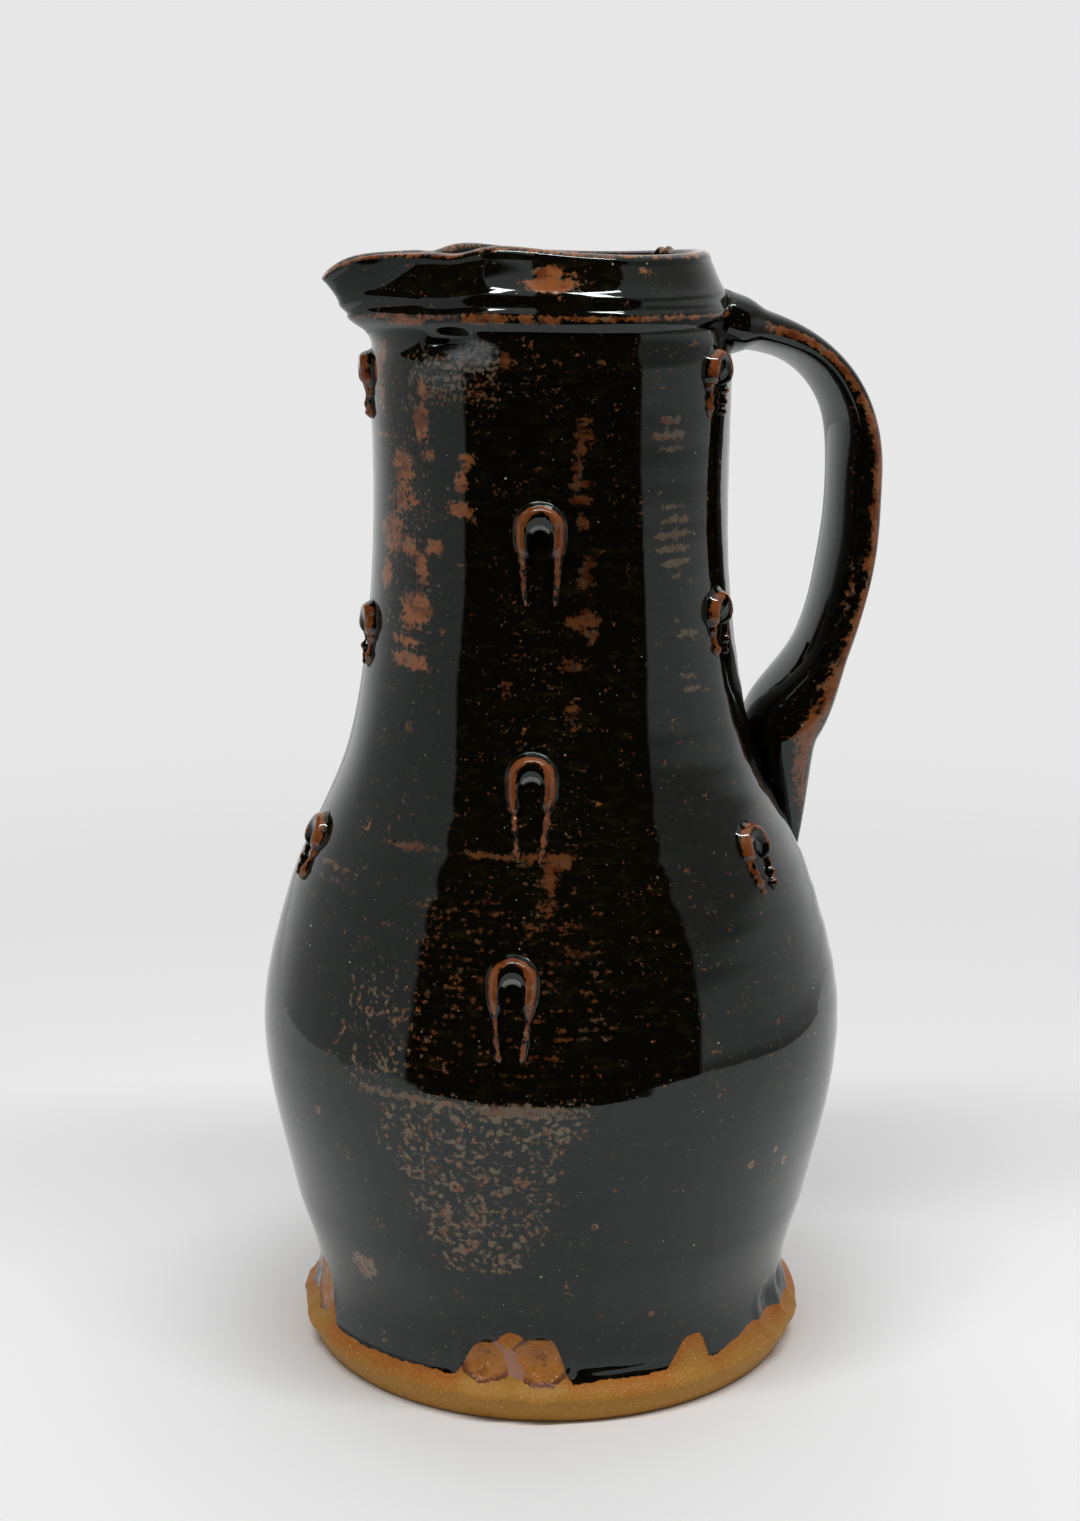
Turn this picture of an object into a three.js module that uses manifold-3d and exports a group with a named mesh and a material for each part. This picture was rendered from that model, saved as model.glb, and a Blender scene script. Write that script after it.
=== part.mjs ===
// Baluster jug: a thrown stoneware wall with a pulled lip, a strap handle and applied horseshoe prunts.
// Millimetres, +Z up. The origin is the centre of the flat base, the handle is at +X and the spout at -X.

import * as THREE from "three";
import { mergeVertices } from "three/addons/utils/BufferGeometryUtils.js";
import Module from "manifold-3d";

const wasm = await Module();
wasm.setup();

// Outside of the thrown wall, as a height above the base and a radius
const footRadius = 74.8;
const footRollHeight = 8.5;
const footRollRadius = 78.0;
const footStepHeight = 14;
const footStepRadius = 73.9;
const footWaistHeight = 20.5;
const footWaistRadius = 73.0;
const hipHeight = 49.5;
const hipRadius = 80.0;
const bellyHeight = 100;
const bellyRadius = 88.6;
const shoulderHeight = 142;
const shoulderRadius = 79.9;
const neckFootHeight = 186;
const neckFootRadius = 61.3;
const neckHeight = 222;
const neckRadius = 54.6;
const waistHeight = 262;
const waistRadius = 52.5;

// Collar, measured down from the rim: the top of the neck, an undercut, a ridge, a channel and a taper
const rimHeight = 330;
const rimRadius = 46.6;
const rimThickness = 5.4;
const neckTopDrop = 32;
const neckTopRadius = 53.3;
const undercutDrop = 21.5;
const undercutRadius = 51.4;
const ridgeDrop = 17.2;
const ridgeRadius = 52.9;
const channelDrop = 14.4;
const channelRadius = 51.7;
const taperDrop = 12.4;
const taperRadius = 51.4;

// Wall and floor
const footWall = 9;
const neckWall = 6;
const floorThickness = 10;
const floorCornerRadius = 26;

// Pulled lip and the waves that fingers leave in the rim
const lipStartDrop = 27;
const lipCurl = 1.28;
const lipReach = 21.4;
const lipDrop = 6.4;
const lipDropCurl = 4;
const lipShoulderAngle = 46;
const lipShoulderShare = 0.32;
const lipThroatAngle = 15;
const rimSwell = 1.6;
const rimSwellAngle = 62;
const rimWave = 0.5;
const rimPinch = 1.3;
const rimPinchAngle = 9;

// Finger dents under the collar on both sides of the lip
const dentAngle = 45;
const dentDrop = 22.5;
const dentLength = 21;
const dentBreadth = 6.4;
const dentDepth = 2.2;

// Thumb marks pressed in pairs into the foot
const thumbWidth = 14.4;
const thumbLength = 17;
const thumbHeight = 17.2;
const thumbDepth = 6.4;
const thumbLean = 18;

// Strap handle
const handleRootDrop = 20;
const handleRootThickness = 17.5;
const handleRootWidth = 48;
const handleFlare = 9;
const handleShankThickness = 11.5;
const handleShankWidth = 40;
const gripHeight = 264;
const gripReach = 41.8;
const gripThickness = 11;
const gripWidth = 34;
const bowThickness = 9;
const handleTurn = 4;
const handleFootHeight = 190;
const handleFootStand = 13.5;
const handleFootThickness = 20;
const handleFootWidth = 35;
const handleTailHeight = 148;
const handleTailStand = 5.5;
const handleTailThickness = 3;
const handleTailWidth = 6;
const strapGroove = 1;
const strapCrown = 3;

// How squarely the strap's section fills its width and its thickness: 1 is an ellipse and less is squarer
const strapSquareAcross = 0.6;
const strapSquareThrough = 0.75;

// Pulls of the strap's curve at its ends, as shares of its reach, of its rise to the root and of its drop to
// the foot
const rootPullOut = 0.74;
const rootPullDown = 0.1;
const gripPullUp = 0.56;
const gripPullDown = 0.4;
const footPullOut = 0.2;
const footPullUp = 0.31;
const footPressShare = 0.35;
const tailBendShare = 0.4;

// Horseshoe prunts
const pruntWidth = 14.6;
const longPrunt = 29;
const shortPrunt = 20;
const pruntRidge = 4.8;
const pruntStand = 3.5;
const pruntLegEnd = 2.2;
const pruntLegGap = 3.6;
const pruntLegBow = 0.45;
const pruntTaper = 0.6;

// Tops of the prunts, measured from the wall's own marks: down from the rim, or up from the waist, the neck,
// the foot of the neck or the shoulder
const frontTopRise = 2;
const frontMiddleRise = 9;
const frontLowRise = 1;
const handleTopDrop = 25.5;
const handleMiddleRise = 14;
const handleLowRise = 28.5;
const spoutTopDrop = 27;
const spoutMiddleRise = 9;
const spoutLowRise = 26.5;

// Gap that stands for the slip joint between a luted piece and the wall
const slipGap = 0.3;

// Fineness of the meshes
const wallSegments = 56;
const strapSides = 16;
const strapRings = 34;
const pruntSides = 6;
const pruntLegSteps = 3;
const pruntArchSteps = 6;
const outsideSteps = { foot: 3, wall: 10.5, collar: 2.4 };
const insideSteps = { foot: 10, wall: 20, collar: 4.5 };

const degree = Math.PI / 180;

// Angles are measured from the handle at +X, anticlockwise seen from above
const spoutAngle = 180;
const thumbPairs = [
  [-113.9, -101.4],
  [-34.3, -23.2],
  [30, 42.5],
  [101.5, 114],
  [169, 189.4],
];
const frontTops = [
  waistHeight + frontTopRise,
  neckFootHeight + frontMiddleRise,
  shoulderHeight + frontLowRise,
];
const handleTops = [
  rimHeight - handleTopDrop,
  neckHeight + handleMiddleRise,
  shoulderHeight + handleLowRise,
];
const spoutTops = [
  rimHeight - spoutTopDrop,
  neckHeight + spoutMiddleRise,
  shoulderHeight + spoutLowRise,
];
const pruntColumns = [
  { name: "front", angles: [-102.2, -104, -106.3], tops: frontTops, height: longPrunt },
  { name: "handle_near", angles: [-37.2, -35.5, -43.7], tops: handleTops, height: shortPrunt },
  { name: "handle_far", angles: [37.2, 35.5, 43.7], tops: handleTops, height: shortPrunt },
  { name: "back", angles: [102.2, 104, 106.3], tops: frontTops, height: longPrunt },
  { name: "spout", angles: [179, -175.5, -173.5], tops: spoutTops, height: shortPrunt },
];
const pruntRows = ["top", "middle", "low"];

const tenmoku = new THREE.MeshStandardMaterial({ color: 0x15110e, roughness: 0.12, metalness: 0 });
const rustBreak = new THREE.MeshStandardMaterial({ color: 0x5c2c18, roughness: 0.18, metalness: 0 });

const neckTopHeight = rimHeight - neckTopDrop;
const taperHeight = rimHeight - taperDrop;
const lipStartHeight = rimHeight - lipStartDrop;
const dentHeight = rimHeight - dentDrop;
const handleRootHeight = rimHeight - handleRootDrop;
const wallStations = [
  [0, footRadius],
  [footRollHeight, footRollRadius],
  [footStepHeight, footStepRadius],
  [footWaistHeight, footWaistRadius],
  [hipHeight, hipRadius],
  [bellyHeight, bellyRadius],
  [shoulderHeight, shoulderRadius],
  [neckFootHeight, neckFootRadius],
  [neckHeight, neckRadius],
  [waistHeight, waistRadius],
  [neckTopHeight, neckTopRadius],
  [rimHeight - undercutDrop, undercutRadius],
  [rimHeight - ridgeDrop, ridgeRadius],
  [rimHeight - channelDrop, channelRadius],
  [taperHeight, taperRadius],
  [rimHeight - rimThickness / 2, rimRadius],
];

// Slope of a smooth curve at station i, flat where the stations turn
function stationSlope(stations, i) {
  if (i === 0 || i === stations.length - 1) {
    const j = Math.min(i, stations.length - 2);
    return (stations[j + 1][1] - stations[j][1]) / (stations[j + 1][0] - stations[j][0]);
  }
  const before = (stations[i][1] - stations[i - 1][1]) / (stations[i][0] - stations[i - 1][0]);
  const after = (stations[i + 1][1] - stations[i][1]) / (stations[i + 1][0] - stations[i][0]);
  if (before * after <= 0) return 0;
  const spanBefore = stations[i][0] - stations[i - 1][0];
  const spanAfter = stations[i + 1][0] - stations[i][0];
  const mean = (before * spanAfter + after * spanBefore) / (spanBefore + spanAfter);
  const steepest = 3 * Math.min(Math.abs(before), Math.abs(after));
  return THREE.MathUtils.clamp(mean, -steepest, steepest);
}

// Smooth curve through stations of [position, value], which never overshoots them
function smoothThrough(stations, position) {
  const last = stations.length - 1;
  const at = THREE.MathUtils.clamp(position, stations[0][0], stations[last][0]);
  let i = 0;
  while (i < last - 1 && at > stations[i + 1][0]) i += 1;
  const span = stations[i + 1][0] - stations[i][0];
  const t = (at - stations[i][0]) / span;
  const startPull = stationSlope(stations, i) * span;
  const endPull = stationSlope(stations, i + 1) * span;
  return (
    (2 * t ** 3 - 3 * t ** 2 + 1) * stations[i][1] +
    (t ** 3 - 2 * t ** 2 + t) * startPull +
    (3 * t ** 2 - 2 * t ** 3) * stations[i + 1][1] +
    (t ** 3 - t ** 2) * endPull
  );
}

function wallRadius(height) {
  return smoothThrough(wallStations, height);
}

function wallThickness(height) {
  const thicknessStations = [
    [0, footWall],
    [neckFootHeight, neckWall],
    [taperHeight, neckWall],
    [rimHeight - rimThickness / 2, rimThickness],
  ];
  return smoothThrough(thicknessStations, height);
}

// Smallest angle in degrees between two directions
function angleBetween(a, b) {
  const turn = THREE.MathUtils.euclideanModulo(a - b + 180, 360) - 180;
  return Math.abs(turn);
}

// Share of the lip's reach at an angle away from its middle: a broad shoulder with a narrow throat on it
function lipFan(away) {
  const near = Math.min(away / lipShoulderAngle, 1);
  const shoulder = Math.cos((Math.PI / 2) * near) ** 2;
  const throat = Math.exp(-((away / lipThroatAngle) ** 2));
  return lipShoulderShare * shoulder + (1 - lipShoulderShare) * throat;
}

// Moves a point of the turned wall to where the potter's fingers leave it
function pullWall(point) {
  const radius = Math.hypot(point.x, point.y);
  const up = THREE.MathUtils.clamp((point.z - lipStartHeight) / (rimHeight - lipStartHeight), 0, 1);
  if (up === 0 || radius === 0) return point;
  const raise = up ** lipCurl;
  const angle = Math.atan2(point.y, point.x) / degree;
  const away = angleBetween(angle, spoutAngle);
  const fan = lipFan(away);
  const swell = Math.exp(-(((away - rimSwellAngle) / (rimSwellAngle / 3)) ** 2));
  const pinch = Math.exp(-(((away - lipShoulderAngle) / rimPinchAngle) ** 2));
  const wave = rimWave * Math.cos(3 * angle * degree);
  const grown = 1 + (lipReach * fan * raise) / radius;
  point.x *= grown;
  point.y *= grown;
  point.z += raise * (rimSwell * swell + wave - rimPinch * pinch - lipDrop * fan ** lipDropCurl);
  return point;
}

// Points of an arc in the profile plane, as radius and height
function profileArc(radius, height, acrossRadius, upRadius, from, to, steps) {
  const points = [];
  for (let i = 0; i <= steps; i += 1) {
    const turn = (from + ((to - from) * i) / steps) * degree;
    const across = radius + acrossRadius * Math.cos(turn);
    points.push(new THREE.Vector2(across, height + upRadius * Math.sin(turn)));
  }
  return points;
}

// Heights of the rings on the wall, with steps of their own in the foot, the wall and the collar
function ringHeights(from, to, steps) {
  const heights = [from];
  let height = from;
  while (height < to) {
    if (height < footWaistHeight) height += steps.foot;
    else if (height < neckTopHeight) height += steps.wall;
    else height += steps.collar;
    heights.push(height);
  }
  const stretch = (to - from) / (height - from);
  return heights.map((ring) => from + (ring - from) * stretch);
}

// Profile of the outside, from the axis along the base and up to the rim, grown by a margin
function outsideProfile(margin) {
  const top = rimHeight - rimThickness / 2;
  const points = [new THREE.Vector2(0, -margin)];
  points.push(new THREE.Vector2(footRadius / 2, -margin));
  for (const height of ringHeights(0, top, outsideSteps)) {
    const lift = height === 0 ? -margin : height;
    points.push(new THREE.Vector2(wallRadius(height) + margin, lift));
  }
  return points;
}

// Profile of the rim and the inside, from the outer edge of the rim down to the axis
function insideProfile() {
  const half = rimThickness / 2;
  const top = rimHeight - half;
  const rim = profileArc(rimRadius - half, top, half, half, 0, 180, 6).slice(1);
  const cornerHeight = floorThickness + floorCornerRadius;
  const side = ringHeights(cornerHeight, top, insideSteps)
    .reverse()
    .slice(1)
    .map((height) => new THREE.Vector2(wallRadius(height) - wallThickness(height), height));
  const cornerReach = wallRadius(cornerHeight) - wallThickness(cornerHeight) - floorCornerRadius;
  const bend = profileArc(cornerReach, cornerHeight, floorCornerRadius, floorCornerRadius, 0, -90, 6);
  const corner = bend.slice(1);
  const floor = [new THREE.Vector2(cornerReach / 2, floorThickness), new THREE.Vector2(0, floorThickness)];
  return [...rim, ...side, ...corner, ...floor];
}

// Turns a profile about the vertical axis and lets the fingers shape it
function turnWall(profile) {
  const geometry = new THREE.LatheGeometry(profile, wallSegments);
  geometry.rotateX(Math.PI / 2);
  shapePoints(geometry, pullWall);
  return geometry;
}

function shapePoints(geometry, shape) {
  const place = geometry.attributes.position;
  const point = new THREE.Vector3();
  for (let i = 0; i < place.count; i += 1) {
    point.fromBufferAttribute(place, i);
    shape(point);
    place.setXYZ(i, point.x, point.y, point.z);
  }
}

function toSolid(geometry) {
  const bare = geometry.clone();
  bare.deleteAttribute("normal");
  bare.deleteAttribute("uv");
  const merged = mergeVertices(bare, 1e-3);
  const vertProperties = new Float32Array(merged.attributes.position.array);
  const triVerts = new Uint32Array(merged.index.array);
  return new wasm.Manifold(new wasm.Mesh({ numProp: 3, vertProperties, triVerts }));
}

function toGeometry(solid) {
  const mesh = solid.getMesh();
  const geometry = new THREE.BufferGeometry();
  geometry.setAttribute("position", new THREE.BufferAttribute(new Float32Array(mesh.vertProperties), 3));
  geometry.setIndex(new THREE.BufferAttribute(new Uint32Array(mesh.triVerts), 1));
  geometry.computeVertexNormals();
  return geometry;
}

// Closed skin through rings of points, each ring with the same number of points
function loft(rings) {
  const sides = rings[0].length;
  const points = rings.flat();
  const first = points.length;
  const total = (ring) => ring.reduce((sum, point) => sum.add(point), new THREE.Vector3());
  const middle = (ring) => total(ring).divideScalar(sides);
  points.push(middle(rings[0]), middle(rings[rings.length - 1]));
  const faces = [];
  for (let i = 0; i < rings.length - 1; i += 1) {
    for (let j = 0; j < sides; j += 1) {
      const k = (j + 1) % sides;
      const [a, b, c, d] = [i * sides + j, i * sides + k, (i + 1) * sides + k, (i + 1) * sides + j];
      faces.push(a, b, c, a, c, d);
    }
  }
  const lastRing = (rings.length - 1) * sides;
  for (let j = 0; j < sides; j += 1) {
    const k = (j + 1) % sides;
    faces.push(first, k, j);
    faces.push(first + 1, lastRing + j, lastRing + k);
  }
  const geometry = new THREE.BufferGeometry().setFromPoints(points);
  geometry.setIndex(faces);
  return geometry;
}

// A fingertip's ellipsoid, leaning in at its top and set against the wall at an angle and a height
function fingertip({ angle, radius, height, width, length, deep, lean }) {
  const geometry = new THREE.SphereGeometry(1, 14, 9);
  geometry.scale(deep, width / 2, length / 2);
  geometry.rotateY(-lean * degree);
  geometry.translate(radius, 0, height);
  geometry.rotateZ(angle * degree);
  return toSolid(geometry);
}

// A thumb is pressed in from the edge of the foot's roll
function thumbMark(angle) {
  return fingertip({
    angle,
    radius: footRollRadius,
    height: thumbHeight,
    width: thumbWidth,
    length: thumbLength,
    deep: thumbDepth,
    lean: thumbLean,
  });
}

// A finger's dent is shallow and lies along the wall. The fingertip's middle stands off the wall by half of
// its depth, where its outline is root three over two of its full size.
function fingerDent(angle) {
  const outline = Math.sqrt(3) / 2;
  return fingertip({
    angle,
    radius: wallRadius(dentHeight) + dentDepth,
    height: dentHeight,
    width: dentLength / outline,
    length: dentBreadth / outline,
    deep: 2 * dentDepth,
    lean: 0,
  });
}

function thrownBody() {
  const raw = toSolid(turnWall([...outsideProfile(0), ...insideProfile()]));
  const marks = thumbPairs.flat().map(thumbMark);
  const dents = [spoutAngle - dentAngle, spoutAngle + dentAngle].map(fingerDent);
  return toGeometry([...marks, ...dents].reduce((solid, cut) => solid.subtract(cut), raw));
}

// The wall's outside filled solid and grown by the slip gap, to cut what is luted onto it
function wallCutter() {
  const top = [new THREE.Vector2(rimRadius / 2, rimHeight), new THREE.Vector2(0, rimHeight)];
  return toSolid(turnWall([...outsideProfile(slipGap), ...top]));
}

// Line of the strap's middle in the plane of the handle, from inside the collar to the tail
function strapSpine() {
  const root = new THREE.Vector3(wallRadius(handleRootHeight), 0, handleRootHeight);
  const start = root.clone().add(new THREE.Vector3(-neckWall, 0, neckWall / 3));
  const grip = new THREE.Vector3(waistRadius + gripReach, 0, gripHeight);
  const foot = new THREE.Vector3(wallRadius(handleFootHeight) + handleFootStand, 0, handleFootHeight);
  const tailReach = wallRadius(handleTailHeight) - handleTailThickness / 4;
  const tail = new THREE.Vector3(tailReach, 0, handleTailHeight);
  const drop = gripHeight - handleFootHeight;
  const rise = handleRootHeight - gripHeight;
  const spine = new THREE.CurvePath();
  spine.add(new THREE.LineCurve3(start, root));
  spine.add(
    new THREE.CubicBezierCurve3(
      root,
      root.clone().add(new THREE.Vector3(rootPullOut * gripReach, 0, -rootPullDown * rise)),
      grip.clone().add(new THREE.Vector3(0, 0, gripPullUp * rise)),
      grip,
    ),
  );
  const footLean = new THREE.Vector3(footPullOut * drop, 0, footPullUp * drop);
  spine.add(
    new THREE.CubicBezierCurve3(
      grip,
      grip.clone().add(new THREE.Vector3(0, 0, -gripPullDown * drop)),
      foot.clone().add(footLean),
      foot,
    ),
  );
  const bendHeight = handleTailHeight + tailBendShare * (handleFootHeight - handleTailHeight);
  const bend = new THREE.Vector3(wallRadius(bendHeight) + handleTailStand, 0, bendHeight);
  const press = foot.clone().addScaledVector(footLean, -footPressShare);
  spine.add(new THREE.CubicBezierCurve3(foot, press, bend, tail));
  return spine;
}

// Width and thickness along the strap, by the height of its middle or, in the bow, by its reach
function strapSize(along, marks) {
  const width = smoothThrough(
    [
      [0, handleRootWidth],
      [marks.root, handleRootWidth],
      [marks.flare, handleShankWidth],
      [marks.bow, gripWidth],
      [marks.grip, gripWidth],
      [marks.heel, gripWidth],
      [marks.foot, handleFootWidth],
      [1, handleTailWidth],
    ],
    along,
  );
  const thickness = smoothThrough(
    [
      [0, handleRootThickness],
      [marks.root, handleRootThickness],
      [marks.flare, handleShankThickness],
      [marks.bow, bowThickness],
      [marks.grip, gripThickness],
      [marks.heel, gripThickness],
      [marks.foot, handleFootThickness],
      [1, handleTailThickness],
    ],
    along,
  );
  return { width, thickness };
}

function squared(share, power) {
  return Math.sign(share) * Math.abs(share) ** power;
}

// One section of the strap: a rounded slab, crowned on its inner face and grooved along its outer face
function strapSection(centre, tangent, width, thickness) {
  const outward = new THREE.Vector3(-tangent.z, 0, tangent.x);
  const fullness = Math.min(1, width / gripWidth);
  const ring = [];
  for (let j = 0; j < strapSides; j += 1) {
    const turn = (2 * Math.PI * j) / strapSides;
    const across = squared(Math.cos(turn), strapSquareAcross) * (width / 2);
    const through = squared(Math.sin(turn), strapSquareThrough) * (thickness / 2);
    const middle = Math.cos((Math.PI * across) / width) ** 2;
    const hollow = through > 0 ? strapGroove : strapCrown;
    const point = centre.clone().addScaledVector(outward, through - hollow * middle * fullness);
    point.y += across;
    ring.push(point);
  }
  return ring;
}

function strapHandle(cutter) {
  const spine = strapSpine();
  const lengths = spine.getCurveLengths();
  const whole = lengths[lengths.length - 1];
  const marks = { root: lengths[0] / whole, grip: lengths[1] / whole, foot: lengths[2] / whole };
  marks.flare = marks.root + handleFlare / whole;
  marks.bow = (marks.root + 2 * marks.grip) / 3;
  marks.heel = (marks.grip + 2 * marks.foot) / 3;
  const rings = [];
  for (let i = 0; i <= strapRings; i += 1) {
    const along = i / strapRings;
    const { width, thickness } = strapSize(along, marks);
    rings.push(strapSection(spine.getPointAt(along), spine.getTangentAt(along), width, thickness));
  }
  const strap = loft(rings).rotateZ(handleTurn * degree);
  return toGeometry(largestPiece(toSolid(strap).subtract(cutter)));
}

function largestPiece(solid) {
  const pieces = solid.decompose();
  return pieces.reduce((best, piece) => (piece.volume() > best.volume() ? piece : best));
}

// Middle line of a prunt laid flat: up one leg, round the arch and down the other leg
function pruntLine(pruntHeight) {
  const arch = (pruntWidth - pruntRidge) / 2;
  const archHeight = pruntHeight - pruntWidth / 2;
  const legEnd = (pruntLegGap + pruntLegEnd) / 2;
  const line = new THREE.CurvePath();
  const left = new THREE.Vector3(-arch, 0, 0);
  const right = new THREE.Vector3(arch, 0, 0);
  const leftEnd = new THREE.Vector3(-legEnd, -archHeight, 0);
  const rightEnd = new THREE.Vector3(legEnd, -archHeight, 0);
  const bow = (arch * 4) / 3;
  const leftBow = new THREE.Vector3(-arch, bow, 0);
  const rightBow = new THREE.Vector3(arch, bow, 0);
  const bend = -archHeight * pruntLegBow;
  line.add(new THREE.QuadraticBezierCurve3(leftEnd, new THREE.Vector3(-arch, bend, 0), left));
  line.add(new THREE.CubicBezierCurve3(left, leftBow, rightBow, right));
  line.add(new THREE.QuadraticBezierCurve3(right, new THREE.Vector3(arch, bend, 0), rightEnd));
  return line;
}

// Point on the wall, a given way round and up from the middle of a prunt's arch, and a given way off it
function onWall(angle, height, across, up, off) {
  const z = height + up;
  const radius = wallRadius(z);
  const slope = (wallRadius(z + 1) - wallRadius(z - 1)) / 2;
  const lean = Math.hypot(1, slope);
  const turn = angle * degree + across / radius;
  const reach = radius + off / lean;
  return new THREE.Vector3(reach * Math.cos(turn), reach * Math.sin(turn), z - (off * slope) / lean);
}

// Shares of a prunt's line at which it has a ring: a few on each leg and more round the arch
function pruntSteps(line) {
  const lengths = line.getCurveLengths();
  const leg = lengths[0] / lengths[2];
  const steps = [];
  for (let i = 0; i < pruntLegSteps; i += 1) steps.push((leg * i) / pruntLegSteps);
  for (let i = 0; i < pruntArchSteps; i += 1) steps.push(leg + ((1 - 2 * leg) * i) / pruntArchSteps);
  for (let i = 0; i <= pruntLegSteps; i += 1) steps.push(1 - leg + (leg * i) / pruntLegSteps);
  return steps;
}

function horseshoePrunt(angle, top, height, cutter) {
  const line = pruntLine(height);
  const archMiddle = top - pruntWidth / 2;
  const rings = [];
  for (const along of pruntSteps(line)) {
    const place = line.getPointAt(along);
    const ahead = line.getTangentAt(along);
    const fullness = Math.sin(Math.PI * along) ** pruntTaper;
    const half = (pruntLegEnd + (pruntRidge - pruntLegEnd) * fullness) / 2;
    const stand = (pruntStand * 2 * half) / pruntRidge;
    const ring = [];
    for (let j = 0; j < pruntSides; j += 1) {
      const turn = (2 * Math.PI * j) / pruntSides;
      const side = half * Math.cos(turn);
      const off = stand * Math.sin(turn);
      ring.push(onWall(angle, archMiddle, place.x - ahead.y * side, place.y + ahead.x * side, off));
    }
    rings.push(ring);
  }
  return toGeometry(largestPiece(toSolid(loft(rings)).subtract(cutter)));
}

function addPiece(group, name, geometry, material) {
  const mesh = new THREE.Mesh(geometry, material);
  mesh.name = name;
  group.add(mesh);
}

const jug = new THREE.Group();
const cutter = wallCutter();
addPiece(jug, "thrown_body", thrownBody(), tenmoku);
addPiece(jug, "handle", strapHandle(cutter), tenmoku);
for (const column of pruntColumns) {
  pruntRows.forEach((row, i) => {
    const prunt = horseshoePrunt(column.angles[i], column.tops[i], column.height, cutter);
    addPiece(jug, `prunt_${column.name}_${row}`, prunt, rustBreak);
  });
}

export default jug;
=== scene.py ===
"""A tall baluster jug of thrown stoneware under a glossy black iron glaze, on a plain pale studio floor.

Metres, +Z up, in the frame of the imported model: the base stands on the origin, the handle is at +X and the
spout at -X. Angles are in degrees from +X, anticlockwise seen from above.
"""

import logging
import math
from dataclasses import dataclass
from enum import Enum
from typing import Callable, Sequence

import bmesh
import bpy
import numpy as np
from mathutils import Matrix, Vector


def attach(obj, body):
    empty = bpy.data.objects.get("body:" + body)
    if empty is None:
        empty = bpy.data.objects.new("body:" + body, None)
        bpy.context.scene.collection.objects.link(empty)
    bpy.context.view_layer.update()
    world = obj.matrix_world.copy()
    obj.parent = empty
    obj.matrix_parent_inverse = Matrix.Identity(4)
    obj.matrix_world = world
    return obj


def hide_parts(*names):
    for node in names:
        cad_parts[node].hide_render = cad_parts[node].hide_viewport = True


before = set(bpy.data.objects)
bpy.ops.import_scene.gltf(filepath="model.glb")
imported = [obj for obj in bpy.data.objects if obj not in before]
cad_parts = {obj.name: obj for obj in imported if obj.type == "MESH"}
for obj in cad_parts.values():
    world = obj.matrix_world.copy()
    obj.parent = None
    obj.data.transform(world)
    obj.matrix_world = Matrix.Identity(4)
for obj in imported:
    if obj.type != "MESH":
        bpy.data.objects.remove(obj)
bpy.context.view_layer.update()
LOG = logging.getLogger("baluster_jug")

BODY = "root"
SPOUT_ANGLE = 180.0
VIEW_ANGLE = -99.0
FRONT_THUMBS = (-113.9, -101.4)
SPOUT_THUMB = -170.6
BETWEEN_THUMBS = sum(FRONT_THUMBS) / 2.0
Point = tuple[float, float, float]
Colour = tuple[float, float, float, float]


def smoothstep(value: np.ndarray, low: float, high: float) -> np.ndarray:
    """Rises smoothly from 0 at low to 1 at high."""
    share = np.clip((value - low) / (high - low), 0.0, 1.0)
    return share * share * (3.0 - 2.0 * share)


def turn_between(angle: np.ndarray, other: float) -> np.ndarray:
    """Signed turn in degrees from other to angle, from -180 to 180."""
    return (angle - other + 180.0) % 360.0 - 180.0


def hump(distance: np.ndarray, reach: float, power: float = 2.0) -> np.ndarray:
    """A bell of height 1 that falls away over reach; a higher power gives it a flatter top."""
    return np.exp(-(np.abs(distance / reach) ** power))


class SmoothCurve:
    """A curve through stations of place and value that never overshoots them."""

    def __init__(self, stations: Sequence[tuple[float, float]]) -> None:
        """Works out the slope at each station.

        Args:
            stations: Pairs of place and value, in order of place.
        """
        self.place, self.value = (np.array(part) for part in zip(*stations))
        span = np.diff(self.place)
        chord = np.diff(self.value) / span
        before, after = chord[:-1], chord[1:]
        mean = (before * span[1:] + after * span[:-1]) / (span[:-1] + span[1:])
        steepest = 3.0 * np.minimum(np.abs(before), np.abs(after))
        inner = np.where(before * after <= 0.0, 0.0, np.clip(mean, -steepest, steepest))
        self.slope = np.concatenate(([chord[0]], inner, [chord[-1]]))

    def __call__(self, place: np.ndarray | float) -> np.ndarray:
        """Value of the curve.

        Args:
            place: Where to read the curve; beyond its ends it stays level.

        Returns:
            The curve's value at each place.
        """
        at = np.clip(place, self.place[0], self.place[-1])
        i = np.clip(np.searchsorted(self.place, at) - 1, 0, len(self.place) - 2)
        span = self.place[i + 1] - self.place[i]
        t = (at - self.place[i]) / span
        start = (2 * t**3 - 3 * t**2 + 1) * self.value[i] + (t**3 - 2 * t**2 + t) * span * self.slope[i]
        end = (3 * t**2 - 2 * t**3) * self.value[i + 1] + (t**3 - t**2) * span * self.slope[i + 1]
        return start + end


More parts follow.
